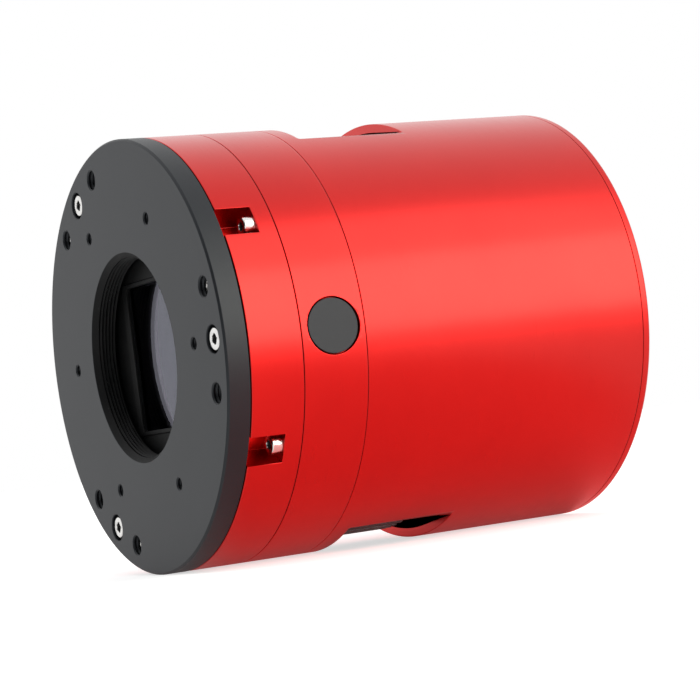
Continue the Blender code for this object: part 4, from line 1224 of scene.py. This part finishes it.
def make_sensor():
    """Sensor package with its die and bond wires, and the two panes over it."""
    x_range, y_range, z_range = reach("sensor_package")
    recesses = [
        block(centred(half[0]), (RECESS_FRONT, back), centred(half[1]), 0.3)
        for half, back in ((WELL_HALF, WELL_BACK), (LEDGE_HALF, LEDGE_BACK))
    ]
    made = piece("sensor_frame", block(x_range, y_range, z_range, 0.5), "dark_ceramic",
                 cuts=recesses, edge=EDGE)
    stand_in(made, "sensor_package")
    x_range, y_range, z_range = reach("sensor_die")
    stand_in(piece("sensor_chip", block(x_range, y_range, z_range), "sensor_silicon", edge=0.05),
             "sensor_die")
    wires = bmesh.new()
    inner, outer = x_range[1] - WIRE_REACH[0], x_range[1] + WIRE_REACH[1]
    top = (inner + WIRE_BEND[0], y_range[0] - WIRE_BEND[1])
    path = [(inner, y_range[0]), top, (outer, y_range[1] + 0.2)]
    for side in (-1, 1):
        for k in range(WIRE_COUNT):
            z = z_range[1] * WIRE_ROW * (2 * k / (WIRE_COUNT - 1) - 1)
            strip = []
            for x, y in path:
                strip.append([
                    wires.verts.new((side * x, y + dy, z + dz)) for dy, dz in WIRE_SECTION
                ])
            for near, far in zip(strip, strip[1:]):
                for j in range(3):
                    after = (j + 1) % 3
                    wires.faces.new((near[j], near[after], far[after], far[j]))
            wires.faces.new(strip[0])
            wires.faces.new(strip[-1])
    ride_with(piece("sensor_bond_wires", wires, "copper"), "sensor_die")
    x_range, y_range, z_range = reach("sensor_cover_glass")
    pane = piece("sensor_pane", block(x_range, y_range, z_range, 0.4), "window_glass", edge=0.1)
    stand_in(pane, "sensor_cover_glass")
    (_, radius), y_range, _ = reach("protective_window")
    pane = piece("chamber_window", pane_shape(radius, y_range, 0.15), "window_glass")
    stand_in(pane, "protective_window")


def dress_inner_nodes():
    """Give the CAD nodes that stay in place their material."""
    for node in frame["nodes"].values():
        for place in node.material_slots:
            place.material = surfaces[place.material.name.split(".")[0]]


# ---- studio

def make_camera():
    """Camera at the photograph's viewing angle."""
    azimuth = math.radians(CAMERA_AZIMUTH)
    elevation = math.radians(CAMERA_ELEVATION)
    roll = math.radians(CAMERA_ROLL)
    back = Vector((
        math.sin(azimuth) * math.cos(elevation),
        -math.cos(azimuth) * math.cos(elevation),
        math.sin(elevation),
    ))
    level = Vector((math.cos(azimuth), math.sin(azimuth), 0))
    above = back.cross(level)
    right = level * math.cos(roll) + above * math.sin(roll)
    up = above * math.cos(roll) - level * math.sin(roll)
    data = bpy.data.cameras.new("camera")
    data.lens = CAMERA_LENS
    data.sensor_width = CAMERA_FILM
    data.clip_start = 0.01
    camera = bpy.data.objects.new("camera", data)
    turn = Matrix((right, up, back)).transposed().to_4x4()
    camera.matrix_world = Matrix.Translation(Vector(CAMERA_PLACE) * MM) @ turn
    bpy.context.scene.collection.objects.link(camera)
    bpy.context.scene.camera = camera


def tint(tree, share, reflected, socket):
    """A colour mix that feeds a socket. A share of it is another colour. Returns the
    socket for the colour that it starts from."""
    blend = tree.nodes.new("ShaderNodeMix")
    blend.data_type = "RGBA"
    tree.links.new(share, blend.inputs[0])
    blend.inputs[7].default_value = (*reflected, 1)
    tree.links.new(blend.outputs[2], socket)
    return blend.inputs[6]


def make_floor():
    """Plain pale floor under the camera body."""
    shape = bmesh.new()
    level = cad_low.z / MM - FLOOR_GAP
    corners = rectangle(centred(FLOOR_HALF), centred(FLOOR_HALF))
    shape.faces.new([shape.verts.new((x, y, level)) for x, y in corners])
    floor = object_from("floor", shape)
    made = bpy.data.materials.new("floor")
    made.use_nodes = True
    tree = made.node_tree
    shader = tree.nodes["Principled BSDF"]
    set_inputs(shader, Roughness=0.9, Specular_IOR_Level=0.1)
    path = tree.nodes.new("ShaderNodeLightPath")
    glow = spread_over(tree, path.outputs["Is Camera Ray"], (0, 1), FLOOR_GLOW)
    tree.links.new(glow, shader.inputs["Emission Strength"])
    mottle = add_node(tree, "ShaderNodeTexNoise", Scale=4.0, Detail=2.0)
    shades = tree.nodes.new("ShaderNodeValToRGB")
    for stop, grey in zip(shades.color_ramp.elements, FLOOR_GREYS):
        stop.color = (grey, grey, grey, 1)
    tree.links.new(mottle.outputs["Fac"], shades.inputs[0])

    place = tree.nodes.new("ShaderNodeSeparateXYZ")
    tree.links.new(tree.nodes.new("ShaderNodeTexCoord").outputs["Object"], place.inputs[0])
    ramps = [
        spread_over(tree, place.outputs["Y"], [y * MM for y in stretch], shares, True)
        for stretch, shares in ((UNDER_FRONT, (0, 1)), (UNDER_BACK, (1, 0)))
    ]
    under = calculate(tree, "MULTIPLY", *ramps)
    share = calculate(tree, "MULTIPLY", under, path.outputs["Is Glossy Ray"])
    start = tint(tree, share, UNDER_BASE, shader.inputs["Base Color"])
    tree.links.new(shades.outputs[0], start)
    start = tint(tree, share, UNDER_GLOW, shader.inputs["Emission Color"])
    start.default_value = WHITE
    floor.data.materials.append(made)


def softbox(name, direction, size, radiance):
    """A large area light that faces the object from one direction."""
    data = bpy.data.lights.new(name, "AREA")
    data.shape = "RECTANGLE"
    data.size, data.size_y = size
    data.energy = radiance * math.pi * size[0] * size[1]
    data.color = LAMP_COLOUR
    light = bpy.data.objects.new(name, data)
    way = Vector(direction).normalized()
    middle = (cad_low + cad_high) / 2
    light.location = middle + way * LAMP_DISTANCE
    light.rotation_mode = "QUATERNION"
    light.rotation_quaternion = way.to_track_quat("Z", "Y")
    light.visible_camera = False
    bpy.context.scene.collection.objects.link(light)


def make_world():
    """White surroundings, with a darker stretch in front of the object where no light is."""
    world = bpy.data.worlds.new("studio")
    world.use_nodes = True
    bpy.context.scene.world = world
    tree = world.node_tree
    background = tree.nodes["Background"]
    place = tree.nodes.new("ShaderNodeTexCoord").outputs["Generated"]
    dark_way = tree.nodes.new("ShaderNodeVectorMath")
    dark_way.operation = "DOT_PRODUCT"
    dark_way.inputs[1].default_value = Vector(DARK_WAY).normalized()
    tree.links.new(place, dark_way.inputs[0])
    levels = (1, DARK_LEVEL)
    shade = spread_over(tree, dark_way.outputs["Value"], DARK_SPREAD, levels, True)
    seen = tree.nodes.new("ShaderNodeLightPath").outputs["Is Camera Ray"]
    tree.links.new(calculate(tree, "MAXIMUM", shade, seen), background.inputs["Strength"])
    background.inputs["Color"].default_value = WHITE


def make_studio():
    """Floor, lights and surroundings."""
    make_floor()
    make_world()
    softbox("side_softbox", *SIDE_LAMP)
    softbox("tall_softbox", *TALL_LAMP)
    bpy.context.scene.view_settings.view_transform = "Standard"


# ---- main

make_surfaces()
make_camera()
dress_inner_nodes()
make_plate()
make_front_ring()
make_retainer()
make_chamber_ring()
make_tube()
make_heat_sink()
make_fan()
make_cover()
make_sockets()
make_sensor()
make_studio()
